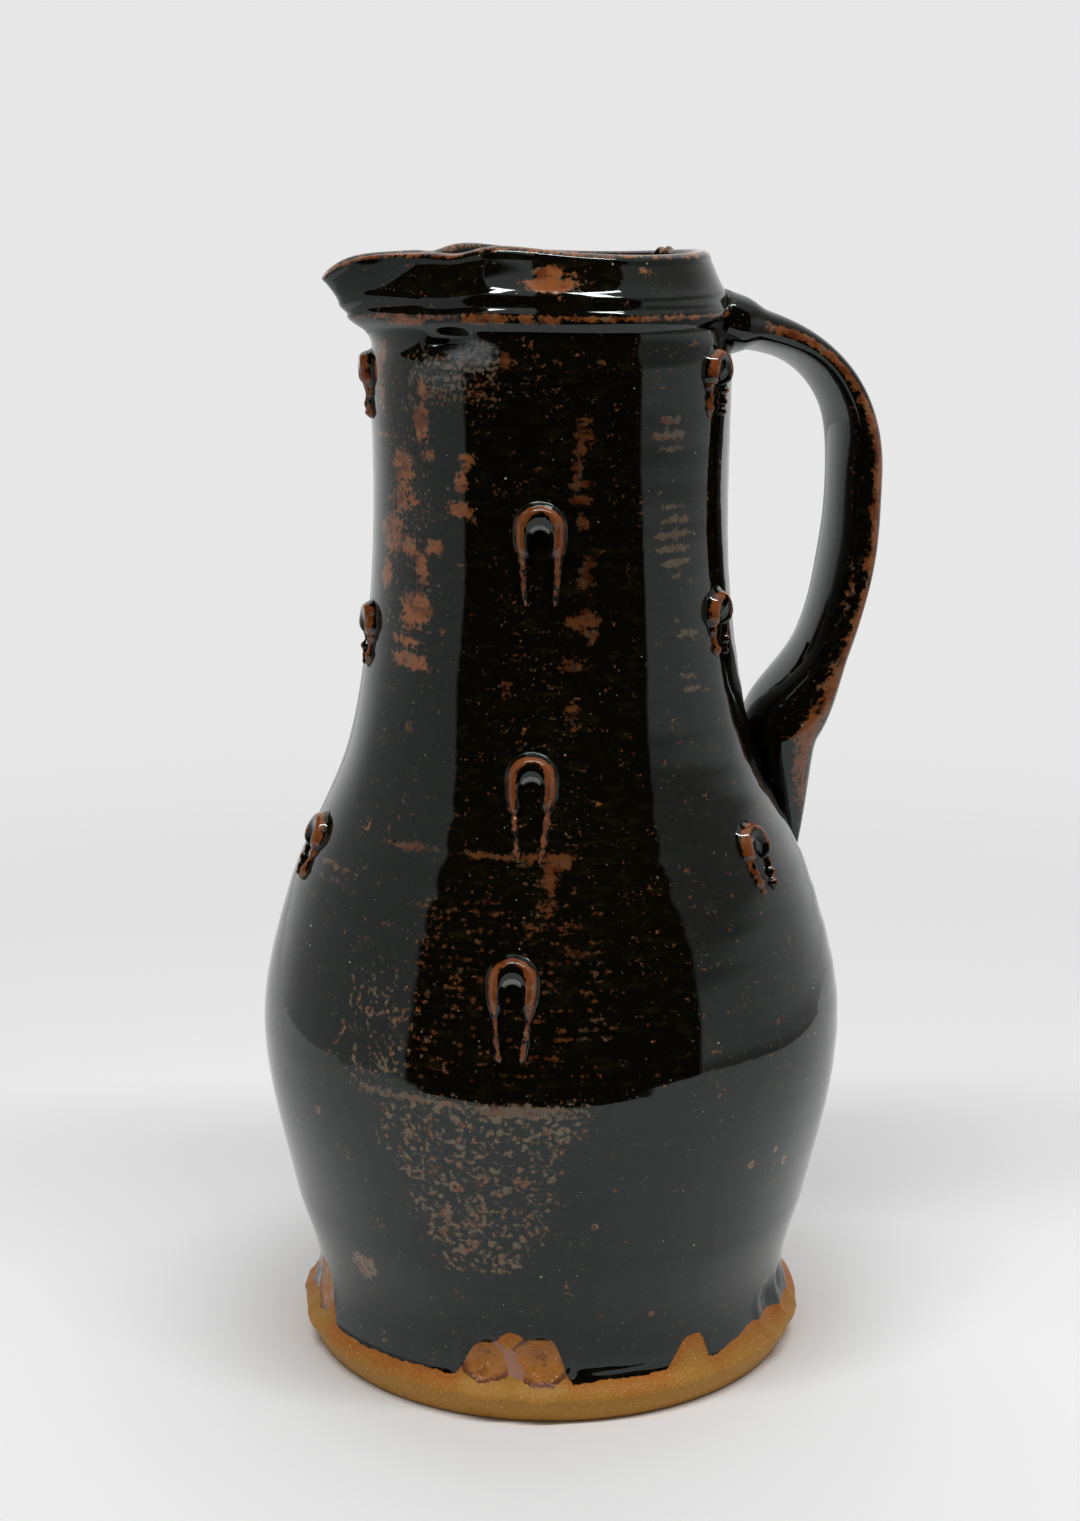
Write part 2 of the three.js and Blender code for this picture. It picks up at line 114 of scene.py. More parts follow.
class Wobble:
    """Slow, seeded unevenness of hand-made clay, as a sum of waves round the jug and up it."""

    def __init__(self, seed: int, waves: int, most_round: int, shortest_rise: float) -> None:
        """Draws the waves.

        Args:
            seed: Seed of the draw.
            waves: How many waves are summed.
            most_round: Most periods that a wave has round the jug.
            shortest_rise: Shortest period of a wave up the jug, in metres.
        """
        draw = np.random.default_rng(seed)
        self.round = draw.integers(1, most_round + 1, waves)
        self.rise = draw.uniform(-1.0, 1.0, waves) / shortest_rise
        self.phase = draw.uniform(0.0, math.tau, waves)

    def __call__(self, angle: np.ndarray, height: np.ndarray) -> np.ndarray:
        """Sums the waves.

        Args:
            angle: Angles in degrees.
            height: Heights, or lengths along a piece, in metres.

        Returns:
            The sum at each angle and height, mostly between -1 and 1.
        """
        total = np.zeros_like(height)
        for turns, rise, phase in zip(self.round, self.rise, self.phase):
            total += np.sin(turns * np.radians(angle) + math.tau * rise * height + phase)
        return total / math.sqrt(len(self.phase))


class Path:
    """A line through points in a plane, read by the length along it."""

    def __init__(self, points: np.ndarray) -> None:
        """Measures the length up to each point.

        Args:
            points: The points, one row each.
        """
        self.points = points
        steps = np.linalg.norm(np.diff(points, axis=0), axis=1)
        self.lengths = np.concatenate(([0.0], np.cumsum(steps)))
        self.whole = self.lengths[-1]

    def at(self, where: np.ndarray) -> np.ndarray:
        """Points at some lengths along the line, one row each."""
        return np.stack([np.interp(where, self.lengths, axis) for axis in self.points.T], axis=1)

    def ahead(self, where: np.ndarray, step: float) -> np.ndarray:
        """Directions of the line.

        Args:
            where: Lengths along the line.
            step: How far before and past each of them the direction is taken from.

        Returns:
            The directions, one row each, all of length 1.
        """
        chord = self.at(where + step) - self.at(where - step)
        return chord / np.linalg.norm(chord, axis=1)[:, None]


def add_piece(name: str, add: Callable[[], object]) -> bpy.types.Object:
    """Adds a primitive with nothing else selected and gives it its name.

    Args:
        name: Name of the new piece.
        add: Calls the operator that adds the primitive.

    Returns:
        The new object, which is the active one.
    """
    bpy.ops.object.select_all(action="DESELECT")
    add()
    piece = bpy.context.object
    piece.name = name
    piece.data.name = name
    return piece


def places_of(piece: bpy.types.Object) -> np.ndarray:
    """Reads the places of the vertices.

    Args:
        piece: The piece to read.

    Returns:
        The places, one row each.
    """
    flat = np.empty(len(piece.data.vertices) * 3, np.float32)
    piece.data.vertices.foreach_get("co", flat)
    return flat.reshape(-1, 3).astype(float)


def put_places(piece: bpy.types.Object, places: np.ndarray) -> None:
    """Moves the vertices to new places, one row each."""
    piece.data.vertices.foreach_set("co", places.astype(np.float32).ravel())
    piece.data.update()


def paint(piece: bpy.types.Object, name: str, values: np.ndarray) -> None:
    """Keeps one number for each vertex under a name that the piece's material reads."""
    layer = piece.data.attributes.new(name, "FLOAT", "POINT")
    layer.data.foreach_set("value", values.astype(np.float32))


def smooth_shading(piece: bpy.types.Object) -> None:
    """Shades the whole piece smooth.

    Args:
        piece: The piece to shade.
    """
    bpy.ops.object.select_all(action="DESELECT")
    piece.select_set(True)
    bpy.context.view_layer.objects.active = piece
    bpy.ops.object.shade_smooth()


def rolled_clay(name: str, sides: int, cuts: int) -> bpy.types.Object:
    """A straight roll of clay from z = 0 to z = 1, of radius 1, with rings along it to bend it by.

    Args:
        name: Name of the new piece.
        sides: Sides of the roll.
        cuts: Rings between its two ends.

    Returns:
        The roll.
    """
    roll = add_piece(
        name,
        lambda: bpy.ops.mesh.primitive_cylinder_add(
            vertices=sides, radius=1.0, depth=1.0, end_fill_type="TRIFAN", location=(0.0, 0.0, 0.5)
        ),
    )
    bpy.ops.object.transform_apply(location=True)
    bpy.ops.object.mode_set(mode="EDIT")
    bpy.ops.mesh.select_all(action="DESELECT")
    mesh = bmesh.from_edit_mesh(roll.data)
    for edge in mesh.edges:
        edge.select = abs(edge.verts[0].co.z - edge.verts[1].co.z) > 0.5
    bmesh.update_edit_mesh(roll.data)
    bpy.ops.mesh.subdivide(number_cuts=cuts)
    bpy.ops.object.mode_set(mode="OBJECT")
    return roll


@dataclass(frozen=True)
class Grain:
    """A noise of blotches.

    Its size is in metres, detail is how many finer layers it has, shift tells it from other noises, and a
    stretch below 1 makes the blotches longer along that axis.
    """

    size: float
    detail: float
    shift: float = 0.0
    stretch: Point = (1.0, 1.0, 1.0)


@dataclass(frozen=True)
class Scatter:
    """Round specks: the spacing of their cells, the share of cells that hold one, and the largest radius."""

    spacing: float
    share: float
    radius: float
    shift: float


class Value:
    """A shader's number, on which Python's operators add Math nodes."""

    def __init__(self, shader: "Shader", socket: bpy.types.NodeSocket) -> None:
        """Wraps the socket that gives the number."""
        self.shader = shader
        self.socket = socket

    def __add__(self, other: "Value | float") -> "Value":
        """Sum."""
        return self.shader.maths("ADD", self, other)

    def __sub__(self, other: "Value | float") -> "Value":
        """Difference."""
        return self.shader.maths("SUBTRACT", self, other)

    def __rsub__(self, other: float) -> "Value":
        """A number less this one."""
        return self.shader.maths("SUBTRACT", other, self)

    def __mul__(self, other: "Value | float") -> "Value":
        """Product."""
        return self.shader.maths("MULTIPLY", self, other)

    def __truediv__(self, other: "Value | float") -> "Value":
        """Quotient."""
        return self.shader.maths("DIVIDE", self, other)

    def __pow__(self, other: "Value | float") -> "Value":
        """Power."""
        return self.shader.maths("POWER", self, other)

    def __abs__(self) -> "Value":
        """Size without its sign."""
        return self.shader.maths("ABSOLUTE", self)

    def most(self, other: "Value | float") -> "Value":
        """The larger of the two."""
        return self.shader.maths("MAXIMUM", self, other)

    def least(self, other: "Value | float") -> "Value":
        """The smaller of the two."""
        return self.shader.maths("MINIMUM", self, other)

    def sine(self) -> "Value":
        """Sine."""
        return self.shader.maths("SINE", self)

    def cosine(self) -> "Value":
        """Cosine."""
        return self.shader.maths("COSINE", self)

    def rise(self, low: float, high: float) -> "Value":
        """Rises smoothly from 0 to 1.

        Args:
            low: Where the rise starts.
            high: Where the rise ends.

        Returns:
            The risen number.
        """
        settings = {"interpolation_type": "SMOOTHSTEP"}
        inputs = {"Value": self, "From Min": low, "From Max": high}
        return Value(self.shader, self.shader.node("ShaderNodeMapRange", settings, inputs).outputs[0])

    __radd__ = __add__
    __rmul__ = __mul__


class Shader:
    """The nodes of one material or of the world, made by plain calls."""

    def __init__(self, tree: bpy.types.NodeTree) -> None:
        """Empties the tree and takes it over."""
        self.tree = tree
        self.tree.nodes.clear()

    def node(self, kind: str, settings: dict | None = None, inputs: dict | None = None) -> bpy.types.Node:
        """Adds a node.

        Args:
            kind: The node's type.
            settings: Its properties by name, set before its sockets.
            inputs: Values or links of its input sockets, by name or number.

        Returns:
            The new node.
        """
        node = self.tree.nodes.new(kind)
        for name, setting in (settings or {}).items():
            setattr(node, name, setting)
        for key, given in (inputs or {}).items():
            source = given.socket if isinstance(given, Value) else given
            if isinstance(source, bpy.types.NodeSocket):
                self.tree.links.new(source, node.inputs[key])
            else:
                node.inputs[key].default_value = source
        return node

    def maths(self, operation: str, *terms: Value | float) -> Value:
        """Adds a Math node on the terms."""
        node = self.node("ShaderNodeMath", {"operation": operation}, dict(enumerate(terms)))
        return Value(self, node.outputs[0])

    def place(self, stretch: Point = (1.0, 1.0, 1.0), shift: float = 0.0) -> bpy.types.NodeSocket:
        """Object coordinates.

        Args:
            stretch: What each axis is multiplied by.
            shift: How far they are then moved along.

        Returns:
            The coordinates' socket.
        """
        coordinates = self.node("ShaderNodeTexCoord").outputs["Object"]
        inputs = {0: coordinates, 1: stretch, 2: (shift, 1.7 * shift, 0.6 * shift)}
        return self.node("ShaderNodeVectorMath", {"operation": "MULTIPLY_ADD"}, inputs).outputs[0]

    def noise(self, grain: Grain) -> Value:
        """Noise that sways about 0, mostly between -0.25 and 0.25.

        Args:
            grain: Its size, detail, shift and stretch.

        Returns:
            The noise.
        """
        place = self.place(grain.stretch, grain.shift)
        inputs = {"Vector": place, "Scale": 1.0 / grain.size, "Detail": grain.detail}
        return Value(self, self.node("ShaderNodeTexNoise", None, inputs).outputs[0]) - 0.5

    def height(self) -> Value:
        """Height in the piece."""
        return Value(self, self.node("ShaderNodeSeparateXYZ", None, {0: self.place()}).outputs[2])

    def rows(self, pitch: float, sway: Value) -> Value:
        """Level rows from -1 to 1 at a pitch up the piece, swayed a little out of line."""
        return (self.height() * (math.tau / pitch) + sway).sine()

    def distance(self, point: Vector) -> Value:
        """Distance from a point.

        Args:
            point: The point, in object coordinates.

        Returns:
            The distance in metres.
        """
        inputs = {0: self.place(), 1: tuple(point)}
        node = self.node("ShaderNodeVectorMath", {"operation": "DISTANCE"}, inputs)
        return Value(self, node.outputs["Value"])

    def specks(self, scatter: Scatter) -> Value:
        """Round specks: 1 on a speck and 0 off it.

        Args:
            scatter: Their spacing, share, radius and shift.

        Returns:
            The mask of the specks.
        """
        inputs = {"Vector": self.place(shift=scatter.shift), "Scale": 1.0 / scatter.spacing}
        cells = self.node("ShaderNodeTexVoronoi", None, inputs)
        parts = self.node("ShaderNodeSeparateColor", None, {0: cells.outputs["Color"]})
        lot = Value(self, parts.outputs[0])
        radius = scatter.radius / scatter.spacing
        size = (lot - (1.0 - scatter.share)).most(0.0) * (radius / scatter.share)
        return (size - Value(self, cells.outputs["Distance"])).rise(0.0, 0.2 * radius)

    def dots(self, spacing: float, shift: float) -> Value:
        """Round dots: 0.5 at the middle of each, falling below 0 between them.

        Args:
            spacing: Mean distance between dots, in metres.
            shift: Tells one scatter from another.

        Returns:
            The dots' height.
        """
        inputs = {"Vector": self.place(shift=shift), "Scale": 1.0 / spacing}
        return 0.5 - Value(self, self.node("ShaderNodeTexVoronoi", None, inputs).outputs["Distance"])

    def painted(self, name: str) -> Value:
        """A number that is kept for each vertex of the piece."""
        node = self.node("ShaderNodeAttribute", {"attribute_name": name})
        return Value(self, node.outputs["Fac"])

    def blend(self, share: Value | float, first: object, second: object) -> bpy.types.NodeSocket:
        """Colour that goes from first to second as share goes from 0 to 1."""
        node = self.node("ShaderNodeMix", {"data_type": "RGBA"}, {0: share, 6: first, 7: second})
        return node.outputs[2]

    def bump(self, height: Value, depth: float) -> bpy.types.NodeSocket:
        """Normal of a surface that stands up by depth, in metres, where height is 1."""
        inputs = {"Height": height, "Distance": depth, "Strength": 1.0}
        return self.node("ShaderNodeBump", None, inputs).outputs[0]

    def finish(self, surface: bpy.types.NodeSocket, output: str = "ShaderNodeOutputMaterial") -> None:
        """Links the surface to the tree's output."""
        self.node(output, None, {"Surface": surface})


def new_material(name: str) -> tuple[bpy.types.Material, Shader]:
    """Makes a material.

    Args:
        name: Its name.

    Returns:
        The material, and the shader that adds its nodes.
    """
    material = bpy.data.materials.new(name)
    material.use_nodes = True
    return material, Shader(material.node_tree)


@dataclass(frozen=True)
class Thinning:
    """Where the glaze has broken thin, how warm it is there, where a pale sheen of reflected light is
    painted on it, and where it has a dent.
    """

    thin: Value
    warm: Value | float = 1.0
    painted_sheen: Value | float = 0.0
    dent: Value | float = 0.0


@dataclass(frozen=True)
class IronGlaze:
    """Glossy iron glaze: black where thick, rust where it breaks over an edge, tan where it mottles."""

    black: Colour = (0.0036, 0.0028, 0.0014, 1.0)
    olive: Colour = (0.0105, 0.0082, 0.003, 1.0)
    rust: Colour = (0.30, 0.098, 0.030, 1.0)
    ember: Colour = (0.155, 0.036, 0.009, 1.0)
    tan: Colour = (0.215, 0.140, 0.080, 1.0)
    crystal_glint: Colour = (0.42, 0.36, 0.27, 1.0)
    pale_reflection: Colour = (0.30, 0.31, 0.31, 1.0)
    cool: Colour = (0.86, 1.0, 0.98, 1.0)
    index: float = 1.5
    gloss: float = 0.035
    thin_gloss: float = 0.12
    thin_rise: float = 0.6
    burst_depth: float = 12.0
    peel_depth: float = 0.00002
    peel: Grain = Grain(0.005, 1.0)
    cloud: Grain = Grain(0.006, 4.0, 3.0, (1.0, 1.0, 3.0))
    heat: Grain = Grain(0.007, 4.0, 9.0, (1.0, 1.0, 1.4))
    warmth: Grain = Grain(0.0035, 3.0, 5.0)
    fine_crystal_glints: Scatter = Scatter(0.0025, 0.45, 0.00022, 1.0)
    coarse_crystal_glints: Scatter = Scatter(0.005, 0.35, 0.00045, 2.0)

    def colour(self, shader: Shader, broken: Thinning) -> bpy.types.NodeSocket:
        """Colour of the glaze.

        Args:
            shader: The shader to add to.
            broken: Where the glaze has broken thin.

        Returns:
            The colour's socket.
        """
        thick = shader.blend(shader.noise(self.cloud).rise(0.0, 0.25), self.black, self.olive)
        heated = shader.blend(shader.noise(self.heat).rise(-0.14, 0.04), self.ember, self.rust)
        warm = (shader.noise(self.warmth) * 2.8 + broken.warm).rise(0.15, 0.75)
        glazed = shader.blend(broken.thin, thick, shader.blend(warm, self.tan, heated))
        # Tiny pale specks: crystals in the glaze, with painted glints on them.
        crystal_glints = shader.specks(self.fine_crystal_glints).most(shader.specks(self.coarse_crystal_glints))
        # Painted sheen: a pale bluish reflection laid over the glaze where its mask is painted.
        return shader.blend(broken.painted_sheen, shader.blend(crystal_glints, glazed, self.crystal_glint), self.pale_reflection)

    def surface(self, shader: Shader, broken: Thinning) -> bpy.types.NodeSocket:
        """Surface of the glaze, with its colour, gloss and faint orange peel.

        Args:
            shader: The shader to add to.
            broken: Where the glaze has broken thin.

        Returns:
            The surface's socket.
        """
        raised = shader.noise(self.peel) + broken.thin * self.thin_rise
        height = raised - broken.dent * self.burst_depth
        inputs = {
            "Base Color": self.colour(shader, broken),
            "Roughness": broken.thin * (self.thin_gloss - self.gloss) + self.gloss,
            "IOR": self.index,
            "Specular Tint": self.cool,
            "Normal": shader.bump(height, self.peel_depth),
        }
        return shader.node("ShaderNodeBsdfPrincipled", None, inputs).outputs[0]


@dataclass(frozen=True)
class BareClay:
    """Unglazed stoneware: sandy ochre, toasted orange beside the glaze, with iron grit in it."""

    ochre: Colour = (0.43, 0.205, 0.034, 1.0)
    toasted: Colour = (0.43, 0.130, 0.016, 1.0)
    grit: Colour = (0.20, 0.07, 0.014, 1.0)
    sand: Colour = (0.70, 0.46, 0.18, 1.0)
    roughness: float = 0.55
    specular: float = 0.2
    toast_reach: float = 0.0050
    grain_depth: float = 0.00006
    grain: Grain = Grain(0.0007, 3.0)
    patches: Grain = Grain(0.014, 3.0, 2.0)
    iron_specks: Scatter = Scatter(0.0020, 0.6, 0.00035, 4.0)
    sand_specks: Scatter = Scatter(0.0022, 0.5, 0.00038, 6.0)

    def surface(self, shader: Shader, above: Value) -> bpy.types.NodeSocket:
        """Surface of the clay.

        Args:
            shader: The shader to add to.
            above: Height above the edge of the glaze, in metres.

        Returns:
            The surface's socket.
        """
        near = (above / self.toast_reach + shader.noise(self.patches) * 2.0).rise(-1.3, 0.2)
        body = shader.blend(near, self.ochre, self.toasted)
        grain = shader.noise(self.grain)
        gritty = shader.blend(shader.specks(self.iron_specks), body, self.grit)
        sandy = shader.blend(shader.specks(self.sand_specks), gritty, self.sand)
        inputs = {
            "Base Color": shader.blend(grain.rise(0.0, 0.25) * 0.4, sandy, self.sand),
            "Roughness": self.roughness,
            "Specular IOR Level": self.specular,
            "Normal": shader.bump(grain, self.grain_depth),
        }
        return shader.node("ShaderNodeBsdfPrincipled", None, inputs).outputs[0]


@dataclass(frozen=True)
class PooledGlaze:
    """Golden glaze that has pooled over torn, bare clay in a thumb mark."""

    gold: Colour = (0.46, 0.17, 0.024, 1.0)
    brown: Colour = (0.17, 0.045, 0.009, 1.0)
    grit: Colour = (0.78, 0.50, 0.22, 1.0)
    torn: Colour = (0.40, 0.19, 0.125, 1.0)
    gloss: float = 0.10
    bump_depth: float = 0.0006
    depths: Grain = Grain(0.0045, 4.0, 6.0)
    grains: Grain = Grain(0.0009, 3.0, 8.0)
    stones: Scatter = Scatter(0.0016, 0.6, 0.0004, 8.0)

    def surface(self, shader: Shader, pool: Value, torn: Value) -> bpy.types.NodeSocket:
        """Surface of the pooled glaze, with grit in it.

        Args:
            shader: The shader to add to.
            pool: 1 in the middle of a pool, falling to 0 at its edge.
            torn: 1 on the pinkish ridges that the thumb tore up, and 0 in the pool.

        Returns:
            The surface's socket.
        """
        depth = shader.noise(self.depths)
        grit = shader.noise(self.grains)
        middle = shader.blend((depth + grit * 0.8).rise(-0.02, 0.40), self.gold, self.brown)
        edged = shader.blend((pool + depth * 1.2).rise(0.45, 0.95), self.brown, middle)
        gritty = shader.blend(shader.specks(self.stones) * 0.8, edged, self.grit)
        ridges = (torn + depth * 1.4 + grit * 0.8).rise(0.42, 0.60)
        inputs = {
            "Base Color": shader.blend(ridges, gritty, self.torn),
            "Roughness": self.gloss,
            "Normal": shader.bump(grit * 0.8 + depth * 2.0, self.bump_depth),
        }
        return shader.node("ShaderNodeBsdfPrincipled", None, inputs).outputs[0]


class Break(Enum):
    """How the glaze breaks thin, and the name that its mask is painted under."""

    STREAK = "streak"
    EMBER = "ember"
    HAZE = "haze_and_sheen"
    FILM = "painted_sheen"
    DASH = "dash"
    ROWS = "rows"
    MOTTLE = "mottle"
    EDGE = "edge"


@dataclass(frozen=True)
class Blot:
    """An oval part of the wall where the glaze has broken thin or pooled: its middle and its half sizes."""

    angle: float
    height: float
    half_turn: float
    half_rise: float
    strength: float = 1.0

    def span(self, angle: np.ndarray, height: np.ndarray) -> tuple[np.ndarray, np.ndarray]:
        """Distances across and up from the middle, as shares of the half sizes."""
        return turn_between(angle, self.angle) / self.half_turn, (height - self.height) / self.half_rise

    def mask(self, angle: np.ndarray, height: np.ndarray) -> np.ndarray:
        """How thin the glaze tends to be at each angle and height."""
        across, up = self.span(angle, height)
        return self.strength * (1.0 - smoothstep(np.hypot(across, up), 0.55, 1.5))


@dataclass(frozen=True)
class Field:
    """A wide part of the wall, with a low end of its own width, over which broken glaze is scattered."""

    angle: float
    half_turn: float
    low: float
    high: float
    strength: float = 1.0
    low_half_turn: float | None = None
    softness: float = 0.0025

    def mask(self, angle: np.ndarray, height: np.ndarray) -> np.ndarray:
        """How thin the glaze tends to be.

        Args:
            angle: Angles of the places on the wall.
            height: Heights of the places on the wall.

        Returns:
            The mask at each place.
        """
        up = np.clip((height - self.low) / (self.high - self.low), 0.0, 1.0)
        narrow = self.half_turn if self.low_half_turn is None else self.low_half_turn
        reach = narrow + (self.half_turn - narrow) * np.sqrt(up)
        across = np.abs(turn_between(angle, self.angle)) / reach
        within = smoothstep(height, self.low - self.softness, self.low + self.softness)
        within *= 1.0 - smoothstep(height, self.high - self.softness, self.high + self.softness)
        return self.strength * within * (1.0 - smoothstep(across, 0.7, 1.15))


BROKEN_GLAZE: dict[Break, tuple[Blot | Field, ...]] = {
    Break.STREAK: (
        Blot(-166.0, 0.3000, 4.5, 0.0055),
        Blot(-163.5, 0.2910, 3.0, 0.0060, 0.9),
        Blot(-165.0, 0.2795, 7.0, 0.0014),
        Blot(-140.7, 0.2935, 2.6, 0.0030),
        Blot(-142.0, 0.2840, 3.4, 0.0055),
        Blot(-139.6, 0.2753, 3.1, 0.0019),
        Blot(-152.0, 0.2710, 5.6, 0.0065),
        Blot(-152.0, 0.2615, 9.6, 0.0029),
        Blot(-158.5, 0.2520, 7.6, 0.0060),
        Blot(-149.0, 0.2488, 4.0, 0.0026),
        Blot(-138.0, 0.2498, 4.2, 0.0020),
        Blot(-162.0, 0.2400, 3.8, 0.0050),
        Blot(-143.0, 0.2427, 2.8, 0.0045),
        Blot(-145.0, 0.2320, 7.0, 0.0055),
        Blot(-149.0, 0.2225, 6.2, 0.0021),
        Blot(-146.0, 0.2170, 9.5, 0.0027),
        Blot(-125.4, 0.2747, 2.7, 0.0021),
        Blot(-127.4, 0.2688, 2.7, 0.0034),
        Blot(-127.5, 0.2605, 5.0, 0.0022),
        Blot(-99.5, 0.3212, 8.0, 0.0020, 1.2),
        Blot(-100.0, 0.3240, 4.6, 0.0024, 1.2),
        Blot(-91.5, 0.3228, 3.2, 0.0022, 0.8),
        Blot(-119.0, 0.3120, 7.5, 0.0013),
        Blot(-105.5, 0.3118, 2.6, 0.0011, 0.9),
        Blot(-97.5, 0.3118, 3.6, 0.0012, 0.9),
        Blot(-149.0, 0.3116, 9.0, 0.0014),
        Blot(-66.0, 0.3255, 3.0, 0.0012, 0.8),
    ),
    Break.EMBER: (
        Blot(-89.0, 0.2851, 3.2, 0.0015),
        Blot(-89.0, 0.2809, 4.0, 0.0014),
        Blot(-90.5, 0.2768, 2.6, 0.0012),
        Blot(-91.0, 0.2720, 2.1, 0.0024),
        Blot(-90.0, 0.2684, 5.0, 0.0012),
        Blot(-91.0, 0.2640, 3.5, 0.0020),
        Blot(-89.4, 0.2580, 2.1, 0.0027),
        Blot(-87.5, 0.2470, 3.0, 0.0020),
        Blot(-89.0, 0.2420, 3.0, 0.0027),
        Blot(-89.5, 0.2310, 6.0, 0.0027),
        Blot(-86.7, 0.2270, 2.8, 0.0030),
        Blot(-92.0, 0.2188, 5.8, 0.0018, 0.8),
        Blot(-93.0, 0.2040, 3.0, 0.0050, 0.7),
        Blot(-112.0, 0.2120, 2.2, 0.0035, 0.7),
        Blot(-112.7, 0.3018, 1.9, 0.0024),
        Blot(-97.2, 0.3015, 1.8, 0.0012),
        Blot(-84.0, 0.3014, 1.5, 0.0011),
        Blot(-131.0, 0.1678, 11.0, 0.0015),
        Blot(-106.0, 0.1669, 17.0, 0.0011),
        Blot(-97.0, 0.1663, 4.0, 0.0022),
        Blot(-99.5, 0.1612, 3.0, 0.0026),
        Blot(-100.0, 0.1550, 2.4, 0.0030, 0.8),
        Blot(-143.0, 0.1985, 1.8, 0.0018),
        Blot(-98.0, 0.1500, 6.0, 0.0014, 0.8),
        Blot(-95.0, 0.1440, 8.0, 0.0013, 0.8),
    ),
    Break.HAZE: (
        Field(-131.0, 20.0, 0.288, 0.304, 0.85),
        Field(-150.0, 14.0, 0.226, 0.292, 0.62),
        Field(-106.0, 14.0, 0.292, 0.303, 0.5),
        Field(-101.0, 12.0, 0.172, 0.232, 0.35),
        # These two thin blots paint a reflection: a pale line along the belly, where the bright band at the
        # horizon is reflected.
        Blot(-127.0, 0.1016, 13.0, 0.0017, 1.7),
        Blot(-104.0, 0.1002, 14.0, 0.0017, 1.7),
    ),
    # Painted reflection: a pale sheen below the finger dent, in place of the bright walls reflected in the
    # slight hollow there.
    Break.FILM: (
        Blot(-124.0, 0.3030, 9.0, 0.0040),
        Blot(-134.0, 0.2975, 11.0, 0.0045, 0.7),
    ),
    Break.DASH: (
        Blot(-60.5, 0.2815, 7.0, 0.0065),
        Blot(-57.5, 0.2515, 8.0, 0.0110),
        Blot(-54.0, 0.2245, 5.0, 0.0030),
        Blot(-53.5, 0.2110, 4.0, 0.0040),
        Blot(-156.0, 0.1560, 9.0, 0.0040, 0.8),
    ),
    Break.ROWS: (
        Field(-109.5, 24.0, 0.1065, 0.157, 0.56),
        Field(-100.0, 9.0, 0.156, 0.172, 0.55),
    ),
    Break.MOTTLE: (
        Field(-113.0, 23.0, 0.0455, 0.1035, 0.72, 5.0),
        Blot(-115.0, 0.0610, 9.0, 0.0130, 0.86),
        Blot(-144.3, 0.0395, 4.2, 0.0048, 1.3),
        Blot(-134.0, 0.1180, 11.0, 0.0190, 0.60),
    ),
}


@dataclass(frozen=True)
class GlazeGrain:
    """The noises, rows and dots that break the painted masks up, with their sizes in metres."""

    coarse: Grain = Grain(0.0052, 4.0, 12.0)
    fine: Grain = Grain(0.0013, 3.0, 14.0)
    fleck: Grain = Grain(0.0024, 2.0, 17.0)
    flat: Grain = Grain(0.0075, 3.0, 13.0, (0.6, 0.6, 5.0))
    drawn: Grain = Grain(0.0050, 3.0, 15.0, (1.4, 1.4, 0.4))
    row_pitch: float = 0.0025
    row_sway: float = 5.0
    wide_row_pitch: float = 0.0040
    wide_row_sway: float = 3.0
    powder_spacing: float = 0.0013
    small_spacing: float = 0.0021
    large_spacing: float = 0.0025

    def thinning(self, shader: Shader) -> Thinning:
        """Works out where the glaze has broken thin.

        Args:
            shader: The shader to add to.

        Returns:
            How thin and how warm it is, and where a pale sheen of reflected light is painted.
        """
        grains = (self.coarse, self.fine, self.fleck, self.flat, self.drawn)
        coarse, fine, fleck, flat, drawn = (shader.noise(grain) for grain in grains)
        mask = {kind: shader.painted(kind.value) for kind in Break}
        rows = shader.rows(self.row_pitch, coarse * self.row_sway)
        wide_rows = shader.rows(self.wide_row_pitch, coarse * self.wide_row_sway)
        powder = shader.dots(self.powder_spacing, 21.0)
        small = shader.dots(self.small_spacing, 23.0)
        large = shader.dots(self.large_spacing, 25.0)
        patchy = coarse * 1.1 + flat * 1.1 + drawn * 0.9 + fine * 1.7
        streak = (mask[Break.STREAK] + patchy + fine * 0.6).rise(0.38, 0.98)
        ember = (mask[Break.EMBER] + patchy).rise(0.46, 1.0) * 0.42
        # Pale flecks of broken glaze, and the painted reflection line on the belly.
        haze_and_sheen = (mask[Break.HAZE] + powder * 1.1 + fine * 2.4 + flat * 1.2).rise(0.72, 1.35) * 0.6
        dash = (mask[Break.DASH] + fleck * 1.8 + wide_rows * 0.34 + fine).rise(0.80, 1.20) * 0.5
        weave = small * 1.3 + rows * 0.30 + fine * 1.8 + coarse * 2.6
        woven = (mask[Break.ROWS] + weave).rise(0.86, 1.45) * 0.36
        spots = large * 0.9 + small * 0.6 + fine * 2.4 + coarse
        mottle = (mask[Break.MOTTLE] + spots).rise(0.66, 1.20)
        edge = (mask[Break.EDGE] + coarse * 1.5 + fine * 1.4).rise(0.45, 0.85)
        # Painted sheen of reflected light, laid over the glaze as a pale film.
        painted_sheen = (mask[Break.FILM] + flat * 0.8 + fine * 1.2).rise(0.25, 1.30) * 0.42
        hot = streak.most(ember).most(edge)
        pale = haze_and_sheen.most(dash)
        warm = streak.most(ember * 2.2).most(edge).most(woven * 2.0) - pale.most(mottle * 0.65)
        return Thinning(hot.most(woven).most(pale).most(mottle * 0.85), warm * 0.45 + 0.46, painted_sheen)


@dataclass(frozen=True)
class Pit:
    """A burst bubble in the glaze: where it is and how wide."""

    angle: float
    height: float
    radius: float


